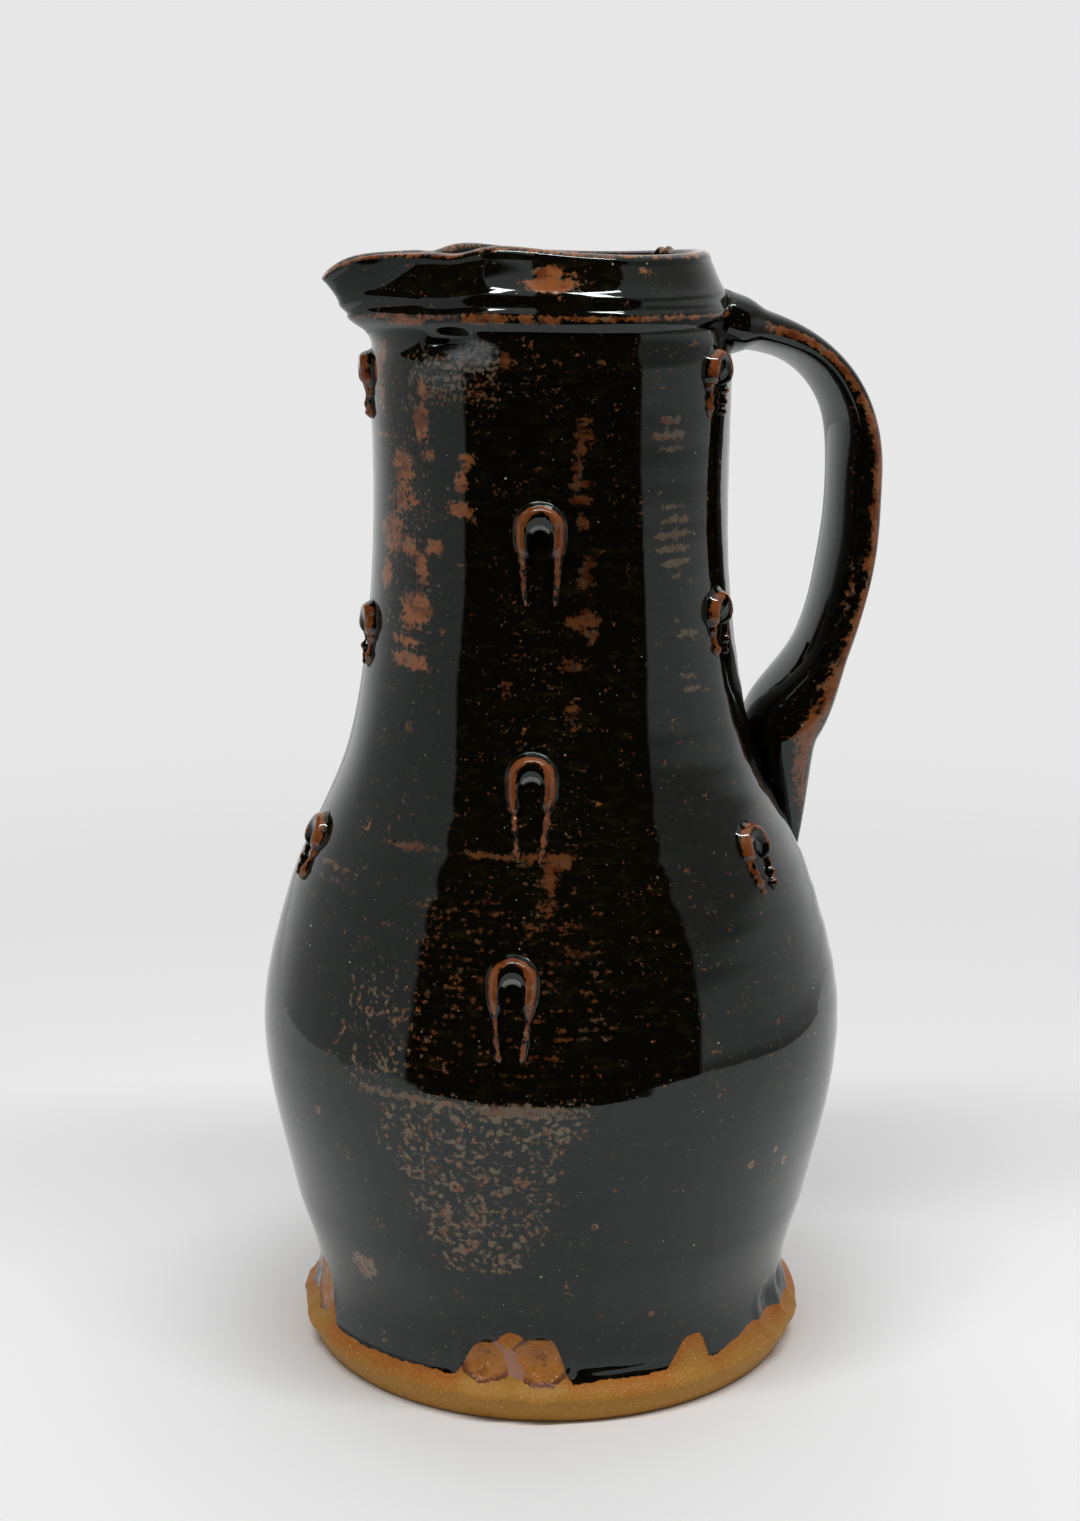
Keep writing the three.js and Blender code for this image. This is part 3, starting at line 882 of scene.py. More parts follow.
@dataclass(frozen=True)
class Swell:
    """A smooth rise, or dip, of the glaze's lower edge."""

    angle: float
    lift: float
    reach: float
    power: float = 2.0

    def rise(self, angle: np.ndarray) -> np.ndarray:
        """Lift of the edge at each angle."""
        return self.lift * hump(turn_between(angle, self.angle), self.reach, self.power)


@dataclass(frozen=True)
class Tab:
    """A bare tongue in the glaze's lower edge, with the turns over which its left and right sides slope."""

    angle: float
    lift: float
    left: tuple[float, float]
    right: tuple[float, float]

    def rise(self, angle: np.ndarray) -> np.ndarray:
        """Lift of the edge at each angle."""
        turn = turn_between(angle, self.angle)
        return self.lift * smoothstep(turn, *self.left) * (1.0 - smoothstep(turn, *self.right))


@dataclass(frozen=True)
class Wall:
    """Sizes and shape of the thrown wall that the other pieces are luted onto."""

    outline: tuple[tuple[float, float], ...] = (
        (0.0, 0.0748),
        (0.0085, 0.0780),
        (0.0112, 0.0754),
        (0.0124, 0.0744),
        (0.0136, 0.0741),
        (0.0205, 0.0730),
        (0.0495, 0.0800),
        (0.1000, 0.0886),
        (0.1420, 0.0799),
        (0.1860, 0.0613),
        (0.2220, 0.0546),
        (0.2620, 0.0525),
        (0.2980, 0.0533),
        (0.3085, 0.0514),
        (0.3113, 0.0526),
        (0.3135, 0.0529),
        (0.3149, 0.0518),
        (0.3160, 0.0515),
        (0.3180, 0.0514),
        (0.3193, 0.0505),
        (0.3273, 0.0466),
    )
    thicknesses: tuple[tuple[float, float], ...] = (
        (0.0, 0.009),
        (0.186, 0.006),
        (0.3176, 0.006),
        (0.3273, 0.0054),
    )
    rim_height: float = 0.330
    rim_thickness: float = 0.0054
    lip_start: float = 0.303
    lip_curl: float = 1.28
    lip_reach: float = 0.0214
    lip_drop: float = 0.0064
    lip_drop_curl: float = 4.0
    lip_shoulder_angle: float = 46.0
    lip_shoulder_share: float = 0.32
    lip_throat_angle: float = 15.0
    rim_swell: float = 0.00155
    rim_swell_angle: float = 62.0
    rim_wave: float = 0.0005
    rim_pinch: float = 0.0013
    rim_pinch_angle: float = 9.0
    rim_bumps: tuple[float, ...] = (27.0, 31.5)
    rim_bump_rise: float = 0.0011
    rim_bump_angle: float = 1.3

    def radius(self, height: np.ndarray | float) -> np.ndarray:
        """Outer radius of the wall before the lip is pulled."""
        return SmoothCurve(self.outline)(height)

    def thickness(self, height: np.ndarray | float) -> np.ndarray:
        """Thickness of the wall."""
        return SmoothCurve(self.thicknesses)(height)

    def beside(self, height: float, stand: float = 0.0) -> np.ndarray:
        """Radius and height of a point that stands off the wall."""
        return np.array((float(self.radius(height)) + stand, height))

    def lip_fan(self, away: np.ndarray) -> np.ndarray:
        """How far the lip is pulled: a broad shoulder with a narrow throat.

        Args:
            away: Angles away from the lip's middle.

        Returns:
            Shares of the lip's reach.
        """
        shoulder = np.cos(np.minimum(away / self.lip_shoulder_angle, 1.0) * math.pi / 2.0) ** 2
        throat = hump(away, self.lip_throat_angle)
        return self.lip_shoulder_share * shoulder + (1.0 - self.lip_shoulder_share) * throat

    def pulled(self, places: np.ndarray) -> np.ndarray:
        """Places on the turned wall, moved to where the potter's fingers leave them.

        Args:
            places: Places on the turned wall, one row each.

        Returns:
            The new places, one row each.
        """
        x, y, z = places.T
        radius = np.maximum(np.hypot(x, y), 1e-9)
        angle = np.degrees(np.arctan2(y, x))
        up = np.clip((z - self.lip_start) / (self.rim_height - self.lip_start), 0.0, 1.0) ** self.lip_curl
        away = np.abs(turn_between(angle, SPOUT_ANGLE))
        fan = self.lip_fan(away)
        swell = hump(away - self.rim_swell_angle, self.rim_swell_angle / 3.0)
        pinch = hump(away - self.lip_shoulder_angle, self.rim_pinch_angle)
        wave = self.rim_wave * np.cos(np.radians(3.0 * angle))
        grown = 1.0 + self.lip_reach * fan * up / radius
        drop = self.lip_drop * fan**self.lip_drop_curl
        lift = up * (self.rim_swell * swell + wave - self.rim_pinch * pinch - drop)
        for bump in self.rim_bumps:
            lift += self.rim_bump_rise * hump(turn_between(angle, bump), self.rim_bump_angle) * up**6
        return np.stack((x * grown, y * grown, z + lift), axis=1)

    def on(
        self, angle: float, height: float, across: np.ndarray, up: np.ndarray, off: np.ndarray
    ) -> np.ndarray:
        """Places on the wall, or off it.

        Args:
            angle: Angle of the starting place.
            height: Height of the starting place.
            across: Distances round the wall from there.
            up: Distances up the wall from there.
            off: Distances off the wall.

        Returns:
            The places, one row each.
        """
        z = height + up
        step = 0.001
        radius = self.radius(z)
        slope = (self.radius(z + step) - self.radius(z - step)) / (2.0 * step)
        lean = np.hypot(1.0, slope)
        turn = math.radians(angle) + across / radius
        reach = radius + off / lean
        return np.stack((reach * np.cos(turn), reach * np.sin(turn), z - off * slope / lean), axis=1)


WALL = Wall()


@dataclass(frozen=True)
class Hollow:
    """A place where a finger or a thumb was pressed into the wall."""

    angle: float
    height: float
    width: float
    length: float
    floor: float
    depth: float
    lean: float = 0.0
    twist: float = 0.0
    edge: float = 1.12

    def span(self, angle: np.ndarray, height: np.ndarray) -> tuple[np.ndarray, np.ndarray]:
        """Distances across and up from the hollow's middle, as shares of its half sizes."""
        across = np.radians(turn_between(angle, self.angle)) * self.floor
        return across / (self.width / 2.0), (height - self.height) / (self.length / 2.0)

    def surface(self, angle: np.ndarray, height: np.ndarray) -> np.ndarray:
        """Radius to the bottom of the hollow, which rises past the wall beyond its edge.

        Args:
            angle: Angles of the places on the wall.
            height: Heights of the places on the wall.

        Returns:
            The radius at each place.
        """
        across, up = self.span(angle, height)
        bowl = self.depth * (1.0 - across**2 - up**2)
        lean = math.sin(math.radians(self.lean)) * self.length / 2.0 * np.clip(up, -1.0, 1.0)
        twist = math.sin(math.radians(self.twist)) * self.width / 2.0 * np.clip(across, -1.0, 1.0)
        return self.floor - bowl - lean - twist

    def rim(self, angle: np.ndarray, height: np.ndarray) -> np.ndarray:
        """1 along the hollow's edge, most at its foot, and 0 away from it."""
        across, up = self.span(angle, height)
        return hump(np.hypot(across, up) - self.edge, 0.2) * (1.0 - smoothstep(up, -0.3, 0.9))

    def brow(self, angle: np.ndarray, height: np.ndarray) -> np.ndarray:
        """1 along the upper edge of the hollow, where the glaze has rolled up thick, and 0 away from it."""
        across, up = self.span(angle, height)
        return hump(np.hypot(across, up) - self.edge, 0.16) * smoothstep(up, 0.1, 0.8)


@dataclass
class ThrownBody:
    """The thrown wall from the rolled foot to the collar, with its pulled lip and finger marks."""

    node: str = "thrown_body"
    segments: int = 360
    foot_step: float = 0.0012
    wall_step: float = 0.0022
    collar_step: float = 0.0008
    inside_step: float = 0.005
    foot_top: float = 0.030
    collar_foot: float = 0.297
    base_bevel: float = 0.0009
    floor: float = 0.010
    floor_corner: float = 0.026
    ring_pitch: float = 0.0105
    ring_depth: float = 0.00011
    rings_start: tuple[float, float] = (0.022, 0.05)
    rings_end: tuple[float, float] = (0.296, 0.304)
    ring_peak: float = 0.162
    ring_reach: float = 0.048
    wobble_depth: float = 0.00013
    shrink: float = 0.00033
    press_softness: float = 0.0005
    thumb_height: float = 0.0172
    thumb_width: float = 0.0150
    thumb_length: float = 0.0178
    thumb_depth: float = 0.0062
    thumb_lean: float = 18.0
    thumb_rim: float = 0.0008
    thumb_brow: float = 0.0006
    dent_turn: float = 45.0
    dent_height: float = 0.3066
    dent_width: float = 0.0180
    dent_length: float = 0.0068
    dent_depth: float = 0.0028
    dent_twist: float = 12.0
    rim_break: tuple[float, float] = (0.3278, 0.3294)
    ridge_height: float = 0.3128
    ridge_reach: float = 0.0010
    glaze_edge: float = 0.0122
    glaze_step: float = 0.0002
    glazed_foot: float = 0.06
    edge_slope: tuple[float, float] = (-0.0004, 0.0012)
    edge_roll: float = 0.3
    edge_roll_height: float = 0.0014
    edge_roll_reach: float = 0.0010
    ragged_depth: float = 0.0016
    ragged: Grain = Grain(0.003, 3.0, 7.0)
    pool_edge: Grain = Grain(0.0025, 2.0, 11.0)
    torn_height: float = 0.017
    torn_lean: float = 300.0
    torn_reach: float = 1.9
    torn_start: tuple[float, float] = (0.009, 0.014)
    torn_end: tuple[float, float] = (0.0235, 0.0255)
    thumb_pairs: tuple[tuple[float, float], ...] = (
        FRONT_THUMBS,
        (-34.3, -23.2),
        (30.0, 42.5),
        (101.5, 114.0),
        (169.0, SPOUT_THUMB),
    )
    edge_shapes: tuple[Swell | Tab, ...] = (
        Swell(-40.0, 0.0034, 13.0),
        Swell(-84.0, -0.0006, 12.0),
        Tab(-64.6, 0.0080, (-8.0, -0.8), (2.8, 5.0)),
        Swell(FRONT_THUMBS[0] + 0.6, 0.0102, 5.8, 4.0),
        Tab(FRONT_THUMBS[1], 0.0126, (-8.5, -4.5), (2.5, 7.5)),
        Swell(BETWEEN_THUMBS - 1.6, 0.0050, 1.9),
        Swell(SPOUT_THUMB, 0.0150, 7.0, 4.0),
    )
    pools: tuple[Blot, ...] = (
        Blot(FRONT_THUMBS[0], 0.0178, 6.2, 0.0064),
        Blot(FRONT_THUMBS[1], 0.0186, 7.2, 0.0076),
        Blot(SPOUT_THUMB, 0.0178, 6.2, 0.0064),
    )
    pits: tuple[Pit, ...] = (
        Pit(-56.7, 0.0748, 0.0010),
        Pit(-45.2, 0.0709, 0.0011),
        Pit(-49.5, 0.0765, 0.0008),
        Pit(-117.2, 0.0758, 0.0013),
        Pit(-148.8, 0.0890, 0.0009),
        Pit(-90.5, 0.0640, 0.0008),
        Pit(-76.0, 0.0310, 0.0007),
    )

    def build(self) -> bpy.types.Object:
        """Throws the wall, shapes it, paints its masks and dresses it.

        Returns:
            The finished piece, which stands for the body's node.
        """
        piece = self.thrown()
        turned = places_of(piece)
        x, y, z = turned.T
        radius, angle = np.hypot(x, y), np.degrees(np.arctan2(y, x))
        outside = (radius > WALL.radius(z) - WALL.thickness(z) / 2.0) | (z < self.base_bevel / 2.0)
        above = self.above_glaze_edge(angle, z)
        shaped = self.shaped_radius(radius, angle, z, outside, above)
        share = shaped / np.maximum(radius, 1e-9)
        put_places(piece, WALL.pulled(np.stack((x * share, y * share, z), axis=1)))
        self.paint_masks(piece, angle, z, outside, above)
        smooth_shading(piece)
        piece.data.materials.append(self.finish())
        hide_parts(self.node)
        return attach(piece, BODY)

    def heights(self) -> list[float]:
        """Heights of the rings of vertices outside, close together at the foot and the collar.

        Returns:
            The heights, upward.
        """
        top = WALL.rim_height - WALL.rim_thickness / 2.0
        heights = [self.base_bevel]
        while heights[-1] < top:
            if heights[-1] < self.foot_top:
                step = self.foot_step
            elif heights[-1] < self.collar_foot:
                step = self.wall_step
            else:
                step = self.collar_step
            heights.append(heights[-1] + step)
        return [*heights[:-1], top]

    def profile(self) -> list[tuple[float, float]]:
        """Draws the profile: base, outside, rim, inside and floor.

        Returns:
            Radius and height of its points.
        """
        foot = float(WALL.radius(0.0))
        base = [(0.0, 0.0), (foot / 3.0, 0.0), (2.0 * foot / 3.0, 0.0), (foot - self.base_bevel, 0.0)]
        bevel = [(foot - 0.3 * self.base_bevel, 0.25 * self.base_bevel)]
        outside = [(float(WALL.radius(z)), z) for z in self.heights()]
        half = WALL.rim_thickness / 2.0
        top = WALL.rim_height - half
        middle = float(WALL.radius(top)) - half
        turns = [math.pi * i / 12.0 for i in range(1, 13)]
        rim = [(middle + half * math.cos(turn), top + half * math.sin(turn)) for turn in turns]
        corner_height = self.floor + self.floor_corner
        count = round((top - corner_height) / self.inside_step)
        falls = [top + (corner_height - top) * i / count for i in range(1, count + 1)]
        inside = [(float(WALL.radius(z) - WALL.thickness(z)), z) for z in falls]
        reach = inside[-1][0] - self.floor_corner
        bends = [math.pi / 2.0 * i / 8.0 for i in range(1, 9)]
        corner = [
            (reach + self.floor_corner * math.cos(bend), corner_height - self.floor_corner * math.sin(bend))
            for bend in bends
        ]
        middle_floor = [(reach / 2.0, self.floor), (0.0, self.floor)]
        return base + bevel + outside + rim + inside + corner + middle_floor

    def thrown(self) -> bpy.types.Object:
        """Throws the wall: its profile is extruded point by point and spun.

        Returns:
            The wall as it comes off the wheel.
        """
        piece = add_piece(self.node + "_glazed", lambda: bpy.ops.mesh.primitive_plane_add(size=0.01))
        points = self.profile()
        bpy.ops.object.mode_set(mode="EDIT")
        bpy.ops.mesh.select_all(action="SELECT")
        bpy.ops.mesh.merge(type="CENTER")
        bpy.ops.mesh.select_all(action="SELECT")
        for (radius, height), (next_radius, next_height) in zip(points, points[1:]):
            step = (next_radius - radius, 0.0, next_height - height)
            bpy.ops.mesh.extrude_region_move(TRANSFORM_OT_translate={"value": step})
        bpy.ops.mesh.select_all(action="SELECT")
        bpy.ops.mesh.spin(steps=self.segments, angle=math.tau, center=(0.0, 0.0, 0.0), axis=(0.0, 0.0, 1.0))
        bpy.ops.mesh.select_all(action="SELECT")
        bpy.ops.mesh.remove_doubles(threshold=0.00002)
        bpy.ops.mesh.normals_make_consistent(inside=False)
        bpy.ops.object.mode_set(mode="OBJECT")
        return piece

    def thumbs(self) -> list[Hollow]:
        """The thumb marks, in pairs round the foot."""
        sizes = (self.thumb_height, self.thumb_width, self.thumb_length)
        pressed = (WALL.outline[1][1], self.thumb_depth, self.thumb_lean)
        return [Hollow(angle, *sizes, *pressed) for pair in self.thumb_pairs for angle in pair]

    def dents(self) -> list[Hollow]:
        """The dents of the fingers under the collar, on both sides of the lip."""
        sizes = (self.dent_height, self.dent_width, self.dent_length)
        pressed = (float(WALL.radius(self.dent_height)), self.dent_depth)
        return [
            Hollow(SPOUT_ANGLE + side * self.dent_turn, *sizes, *pressed, twist=side * self.dent_twist)
            for side in (-1.0, 1.0)
        ]

    def unevenness(self, angle: np.ndarray, height: np.ndarray) -> np.ndarray:
        """How far the throwing rings and the wobble of the hands stand off the wall.

        Args:
            angle: Angles of the vertices.
            height: Heights of the vertices.

        Returns:
            The distance at each vertex.
        """
        spiral = math.tau * (height / self.ring_pitch + angle / 360.0)
        rings = 0.65 * np.sin(spiral) + 0.35 * np.sin(2.0 * spiral + 1.3 + 9.0 * height)
        rings *= 1.0 + 0.7 * Wobble(3, 6, 3, 0.12)(angle, height)
        fade = smoothstep(height, *self.rings_start) * (1.0 - smoothstep(height, *self.rings_end))
        strong = 0.3 + 0.7 * hump(height - self.ring_peak, self.ring_reach)
        wobble = Wobble(7, 16, 9, 0.05)(angle, height) * self.wobble_depth * smoothstep(height, 0.0, 0.03)
        return rings * strong * self.ring_depth * fade + wobble

    def shaped_radius(
        self,
        radius: np.ndarray,
        angle: np.ndarray,
        height: np.ndarray,
        outside: np.ndarray,
        above: np.ndarray,
    ) -> np.ndarray:
        """Radius of each vertex once fingers, throwing rings and the glaze's own thickness have shaped it.

        Args:
            radius: Radii on the turned wall.
            angle: Angles of the vertices.
            height: Heights of the vertices.
            outside: Whether each vertex is on the outside.
            above: Heights of the vertices above the edge of the glaze.

        Returns:
            The new radii.
        """
        shaped = radius + self.unevenness(angle, height) - self.shrink
        thumbs = self.thumbs()
        for hollow in (*thumbs, *self.dents()):
            gap = (shaped - hollow.surface(angle, height)) / self.press_softness
            pressed = shaped - self.press_softness * np.logaddexp(0.0, np.clip(gap, -40.0, 40.0))
            near = np.abs(height - hollow.height) < hollow.length
            shaped = np.where(outside & near, pressed, shaped)
        for hollow in thumbs:
            shaped += np.where(outside, hollow.rim(angle, height) * self.thumb_rim, 0.0)
            if hollow.angle in FRONT_THUMBS:
                shaped += np.where(outside, hollow.brow(angle, height) * self.thumb_brow, 0.0)
        roll = self.edge_roll * hump(above - self.edge_roll_height, self.edge_roll_reach)
        glaze = smoothstep(above, *self.edge_slope) * (1.0 + roll)
        return shaped + np.where(outside & (height < self.glazed_foot), (glaze - 1.0) * self.glaze_step, 0.0)

    def above_glaze_edge(self, angle: np.ndarray, height: np.ndarray) -> np.ndarray:
        """Measures heights from the wavy lower edge of the glaze.

        Args:
            angle: Angles of the vertices.
            height: Heights of the vertices.

        Returns:
            Height of each vertex above the edge.
        """
        turn = np.radians(angle)
        edge = self.glaze_edge + 0.0003 * np.sin(3.0 * turn + 0.6) + 0.0002 * np.sin(8.0 * turn)
        edge += 0.0003 * Wobble(5, 12, 40, 1.0)(angle, height)
        for shape in self.edge_shapes:
            edge += shape.rise(angle)
        return height - edge

    def paint_masks(
        self,
        piece: bpy.types.Object,
        angle: np.ndarray,
        height: np.ndarray,
        outside: np.ndarray,
        above: np.ndarray,
    ) -> None:
        """Paints where the glaze ends, where it breaks thin and where it has pooled.

        Args:
            piece: The piece to paint.
            angle: Angles of its vertices.
            height: Heights of its vertices on the turned wall.
            outside: Whether each vertex is on the outside.
            above: Heights above the edge of the glaze.
        """
        paint(piece, "above", np.where(outside, above, 1.0))
        mirrored = -np.abs(angle)
        for kind, parts in BROKEN_GLAZE.items():
            masks = [part.mask(mirrored, height) for part in parts]
            paint(piece, kind.value, np.where(outside, np.max(masks, axis=0), 0.0))
        rim = smoothstep(height, *self.rim_break) * np.where(outside, 0.68, 0.5)
        ridge = hump(height - self.ridge_height, self.ridge_reach) * np.where(outside, 0.85, 0.0)
        paint(piece, Break.EDGE.value, np.maximum(rim, ridge))
        pool, torn = np.zeros_like(height), np.zeros_like(height)
        for pooled in self.pools:
            across, up = pooled.span(angle, height)
            away = np.hypot(across, up)
            pool = np.maximum(pool, 1.0 - smoothstep(away, 0.70, 1.20))
            torn = np.maximum(torn, hump(away - 1.0, 0.22) * smoothstep(up + 0.9 * across, 0.2, 0.9))
        between = turn_between(angle, BETWEEN_THUMBS) + (height - self.torn_height) * self.torn_lean
        upright = smoothstep(height, *self.torn_start) * (1.0 - smoothstep(height, *self.torn_end))
        torn = np.maximum(torn, hump(between, self.torn_reach) * upright)
        paint(piece, "pool", np.where(outside, pool, 0.0))
        paint(piece, "torn", np.where(outside, torn, 0.0))

    def finish(self) -> bpy.types.Material:
        """Glaze over bare clay, with golden glaze pooled in the wiped thumb marks.

        Returns:
            The material.
        """
        material, shader = new_material("iron_glaze_over_clay")
        above = shader.painted("above")
        ragged = above + shader.noise(self.ragged) * self.ragged_depth
        glaze = IronGlaze().surface(shader, self.burst(shader, GlazeGrain().thinning(shader)))
        clay = BareClay().surface(shader, above)
        inside = shader.painted("pool")
        pool = PooledGlaze().surface(shader, inside, shader.painted("torn"))
        pooled = (inside + shader.noise(self.pool_edge) * 0.8).rise(0.28, 0.36)
        bare = shader.node("ShaderNodeMixShader", None, {0: pooled, 1: clay, 2: pool}).outputs[0]
        glazed = ragged.rise(-0.0001, 0.0001)
        whole = shader.node("ShaderNodeMixShader", None, {0: glazed, 1: bare, 2: glaze})
        shader.finish(whole.outputs[0])
        return material

    def burst(self, shader: Shader, broken: Thinning) -> Thinning:
        """Adds the burst bubbles, each with a pale ring round it, to where the glaze is broken.

        Args:
            shader: The shader to add to.
            broken: Where the glaze has broken thin.

        Returns:
            The same, with the bubbles.
        """
        zero = np.zeros(1)
        nearest: Value | None = None
        for pit in self.pits:
            away = shader.distance(Vector(WALL.on(pit.angle, pit.height, zero, zero, zero)[0])) / pit.radius
            nearest = away if nearest is None else nearest.least(away)
        ring = (1.0 - abs(nearest - 0.95)).rise(0.35, 0.75)
        return Thinning(broken.thin.most(ring), broken.warm, broken.painted_sheen, 1.0 - nearest.rise(0.35, 0.75))


@dataclass
class StrapHandle:
    """The pulled strap, sprung from the collar and pressed down on the shoulder."""

    node: str = "handle"
    sides: int = 48
    cuts: int = 150
    turn: float = 4.0
    root_height: float = 0.310
    root_thickness: float = 0.0175
    root_width: float = 0.048
    flare: float = 0.009
    shank_thickness: float = 0.0115
    shank_width: float = 0.040
    grip_height: float = 0.264
    grip_reach: float = 0.0418
    grip_thickness: float = 0.011
    grip_width: float = 0.034
    bow_thickness: float = 0.009
    foot_height: float = 0.190
    foot_stand: float = 0.0135
    foot_thickness: float = 0.020
    foot_width: float = 0.035
    tail_height: float = 0.148
    tail_stand: float = 0.0055
    tail_thickness: float = 0.003
    tail_width: float = 0.006
    groove: float = 0.001
    crown: float = 0.0014
    waist_radius: float = 0.0525
    neck_wall: float = 0.006
    root_pull: tuple[float, float] = (0.74, -0.1)
    grip_pulls: tuple[float, float] = (0.56, -0.4)
    foot_pull: tuple[float, float] = (0.2, 0.31)
    heel_pull: float = 0.35
    bend_share: float = 0.4
    pull_points: int = 120
    look_ahead: float = 0.0015
    wobble_depth: float = 0.0002

    def build(self) -> bpy.types.Object:
        """Pulls the strap and dresses it.

        Returns:
            The finished piece, which stands for the handle's node.
        """
        piece = rolled_clay(self.node + "_glazed", self.sides, self.cuts)
        x, y, along = places_of(piece).T
        rim = np.hypot(x, y)
        section = np.arctan2(y, x)
        put_places(piece, self.strap(along, section, rim))
        self.paint_masks(piece, along, section)
        smooth_shading(piece)
        piece.data.materials.append(self.finish())
        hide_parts(self.node)
        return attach(piece, BODY)

    def spine(self) -> Path:
        """Draws the strap's middle line in the plane of the handle.

        Returns:
            The line, by radius and height, from inside the collar's wall to the tail.
        """
        root = WALL.beside(self.root_height)
        start = root + (-self.neck_wall, self.neck_wall / 3.0)
        grip = np.array((self.waist_radius + self.grip_reach, self.grip_height))
        foot = WALL.beside(self.foot_height, self.foot_stand)
        tail = WALL.beside(self.tail_height, -self.tail_thickness / 4.0)
        bend_height = self.tail_height + self.bend_share * (self.foot_height - self.tail_height)
        bend = WALL.beside(bend_height, self.tail_stand)
        rise = self.root_height - self.grip_height
        drop = self.grip_height - self.foot_height
        out, up = self.root_pull
        above, below = self.grip_pulls
        lean = np.array(self.foot_pull) * drop
        pulls = (
            (start, start + (root - start) / 3.0, start + (root - start) * 2.0 / 3.0, root),
            (root, root + (out * self.grip_reach, up * rise), grip + (0.0, above * rise), grip),
            (grip, grip + (0.0, below * drop), foot + lean, foot),
            (foot, foot - self.heel_pull * lean, bend, tail),
        )
        t = np.linspace(0.0, 1.0, self.pull_points)[:, None]
        parts = [
            (1 - t) ** 3 * a + 3 * (1 - t) ** 2 * t * b + 3 * (1 - t) * t**2 * c + t**3 * d
            for a, b, c, d in pulls
        ]
        return Path(np.concatenate([parts[0], *(part[1:] for part in parts[1:])]))

    def marks(self, spine: Path) -> dict[str, float]:
        """Places at which the strap's section is set.

        Args:
            spine: The strap's middle line.

        Returns:
            Shares of the strap's length, by name.
        """
        root, grip, foot = (spine.lengths[(self.pull_points - 1) * i] / spine.whole for i in (1, 2, 3))
        return {
            "root": root,
            "flare": root + self.flare / spine.whole,
            "bow": (root + 2.0 * grip) / 3.0,
            "grip": grip,
            "heel": (grip + 2.0 * foot) / 3.0,
            "foot": foot,
        }

    def strap(self, along: np.ndarray, section: np.ndarray, rim: np.ndarray) -> np.ndarray:
        """Places of the strap's vertices.

        Args:
            along: Shares of the strap's length.
            section: Angles round its section, in radians.
            rim: 1 on the skin and 0 at the middle of an end.

        Returns:
            The places, one row each.
        """
        spine = self.spine()
        at = self.marks(spine)
        widths = SmoothCurve(
            (
                (0.0, self.root_width),
                (at["root"], self.root_width),
                (at["flare"], self.shank_width),
                (at["bow"], self.grip_width),
                (at["heel"], self.grip_width),
                (at["foot"], self.foot_width),
                (1.0, self.tail_width),
            )
        )
        thicknesses = SmoothCurve(
            (
                (0.0, self.root_thickness),
                (at["root"], self.root_thickness),
                (at["flare"], self.shank_thickness),
                (at["bow"], self.bow_thickness),
                (at["grip"], self.grip_thickness),
                (at["heel"], self.grip_thickness),
                (at["foot"], self.foot_thickness),
                (1.0, self.tail_thickness),
            )
        )
        where = along * spine.whole
        centre, ahead = spine.at(where), spine.ahead(where, self.look_ahead)
        width, thickness = widths(along), thicknesses(along)
        across = np.sign(np.cos(section)) * np.abs(np.cos(section)) ** 0.6 * width / 2.0 * rim
        through = np.sign(np.sin(section)) * np.abs(np.sin(section)) ** 0.75 * thickness / 2.0 * rim
        middle = np.cos(math.pi * across / width) ** 2 * np.minimum(1.0, width / self.grip_width)
        through -= np.where(through > 0.0, self.groove, self.crown) * middle
        through += Wobble(11, 10, 3, 0.03)(np.degrees(section), where) * self.wobble_depth
        reach = centre[:, 0] - ahead[:, 1] * through
        height = centre[:, 1] + ahead[:, 0] * through
        turn = math.radians(self.turn)
        x = reach * math.cos(turn) - across * math.sin(turn)
        y = reach * math.sin(turn) + across * math.cos(turn)
        return np.stack((x, y, height), axis=1)

    def paint_masks(self, piece: bpy.types.Object, along: np.ndarray, section: np.ndarray) -> None:
        """Paints a stripe down each long side of the strap, and patches beside it, where the glaze breaks.

        Args:
            piece: The strap.
            along: Shares of the strap's length.
            section: Angles round its section, in radians.
        """
        outer = np.sin(section)
        side = smoothstep(np.abs(np.cos(section)), 0.5, 0.8)
        fade = smoothstep(along, 0.03, 0.10) * (1.0 - smoothstep(along, 0.88, 0.98))
        down = smoothstep(along, 0.15, 0.42)
        sway = Wobble(29, 7, 1, 0.2)(outer, along)
        stripe = hump(outer - 0.06 - 0.20 * down - 0.05 * sway, 0.21 + 0.15 * down) * side * fade
        patchy = smoothstep(Wobble(23, 9, 1, 0.22)(outer, along), 0.2, 1.1)
        patches = hump(outer + 0.3, 0.4) * side * fade * patchy
        paint(piece, Break.EDGE.value, np.maximum(stripe, patches * 0.7))

    def finish(self) -> bpy.types.Material:
        """Glaze that breaks to rust along the strap's edges."""
        material, shader = new_material("iron_glaze_strap")
        shader.finish(IronGlaze().surface(shader, GlazeGrain().thinning(shader)))
        return material


@dataclass(frozen=True)
class Prunt:
    """Where one horseshoe of clay sits and how it is drawn out."""

    angle: float
    top: float
    height: float
    leg_gap: float


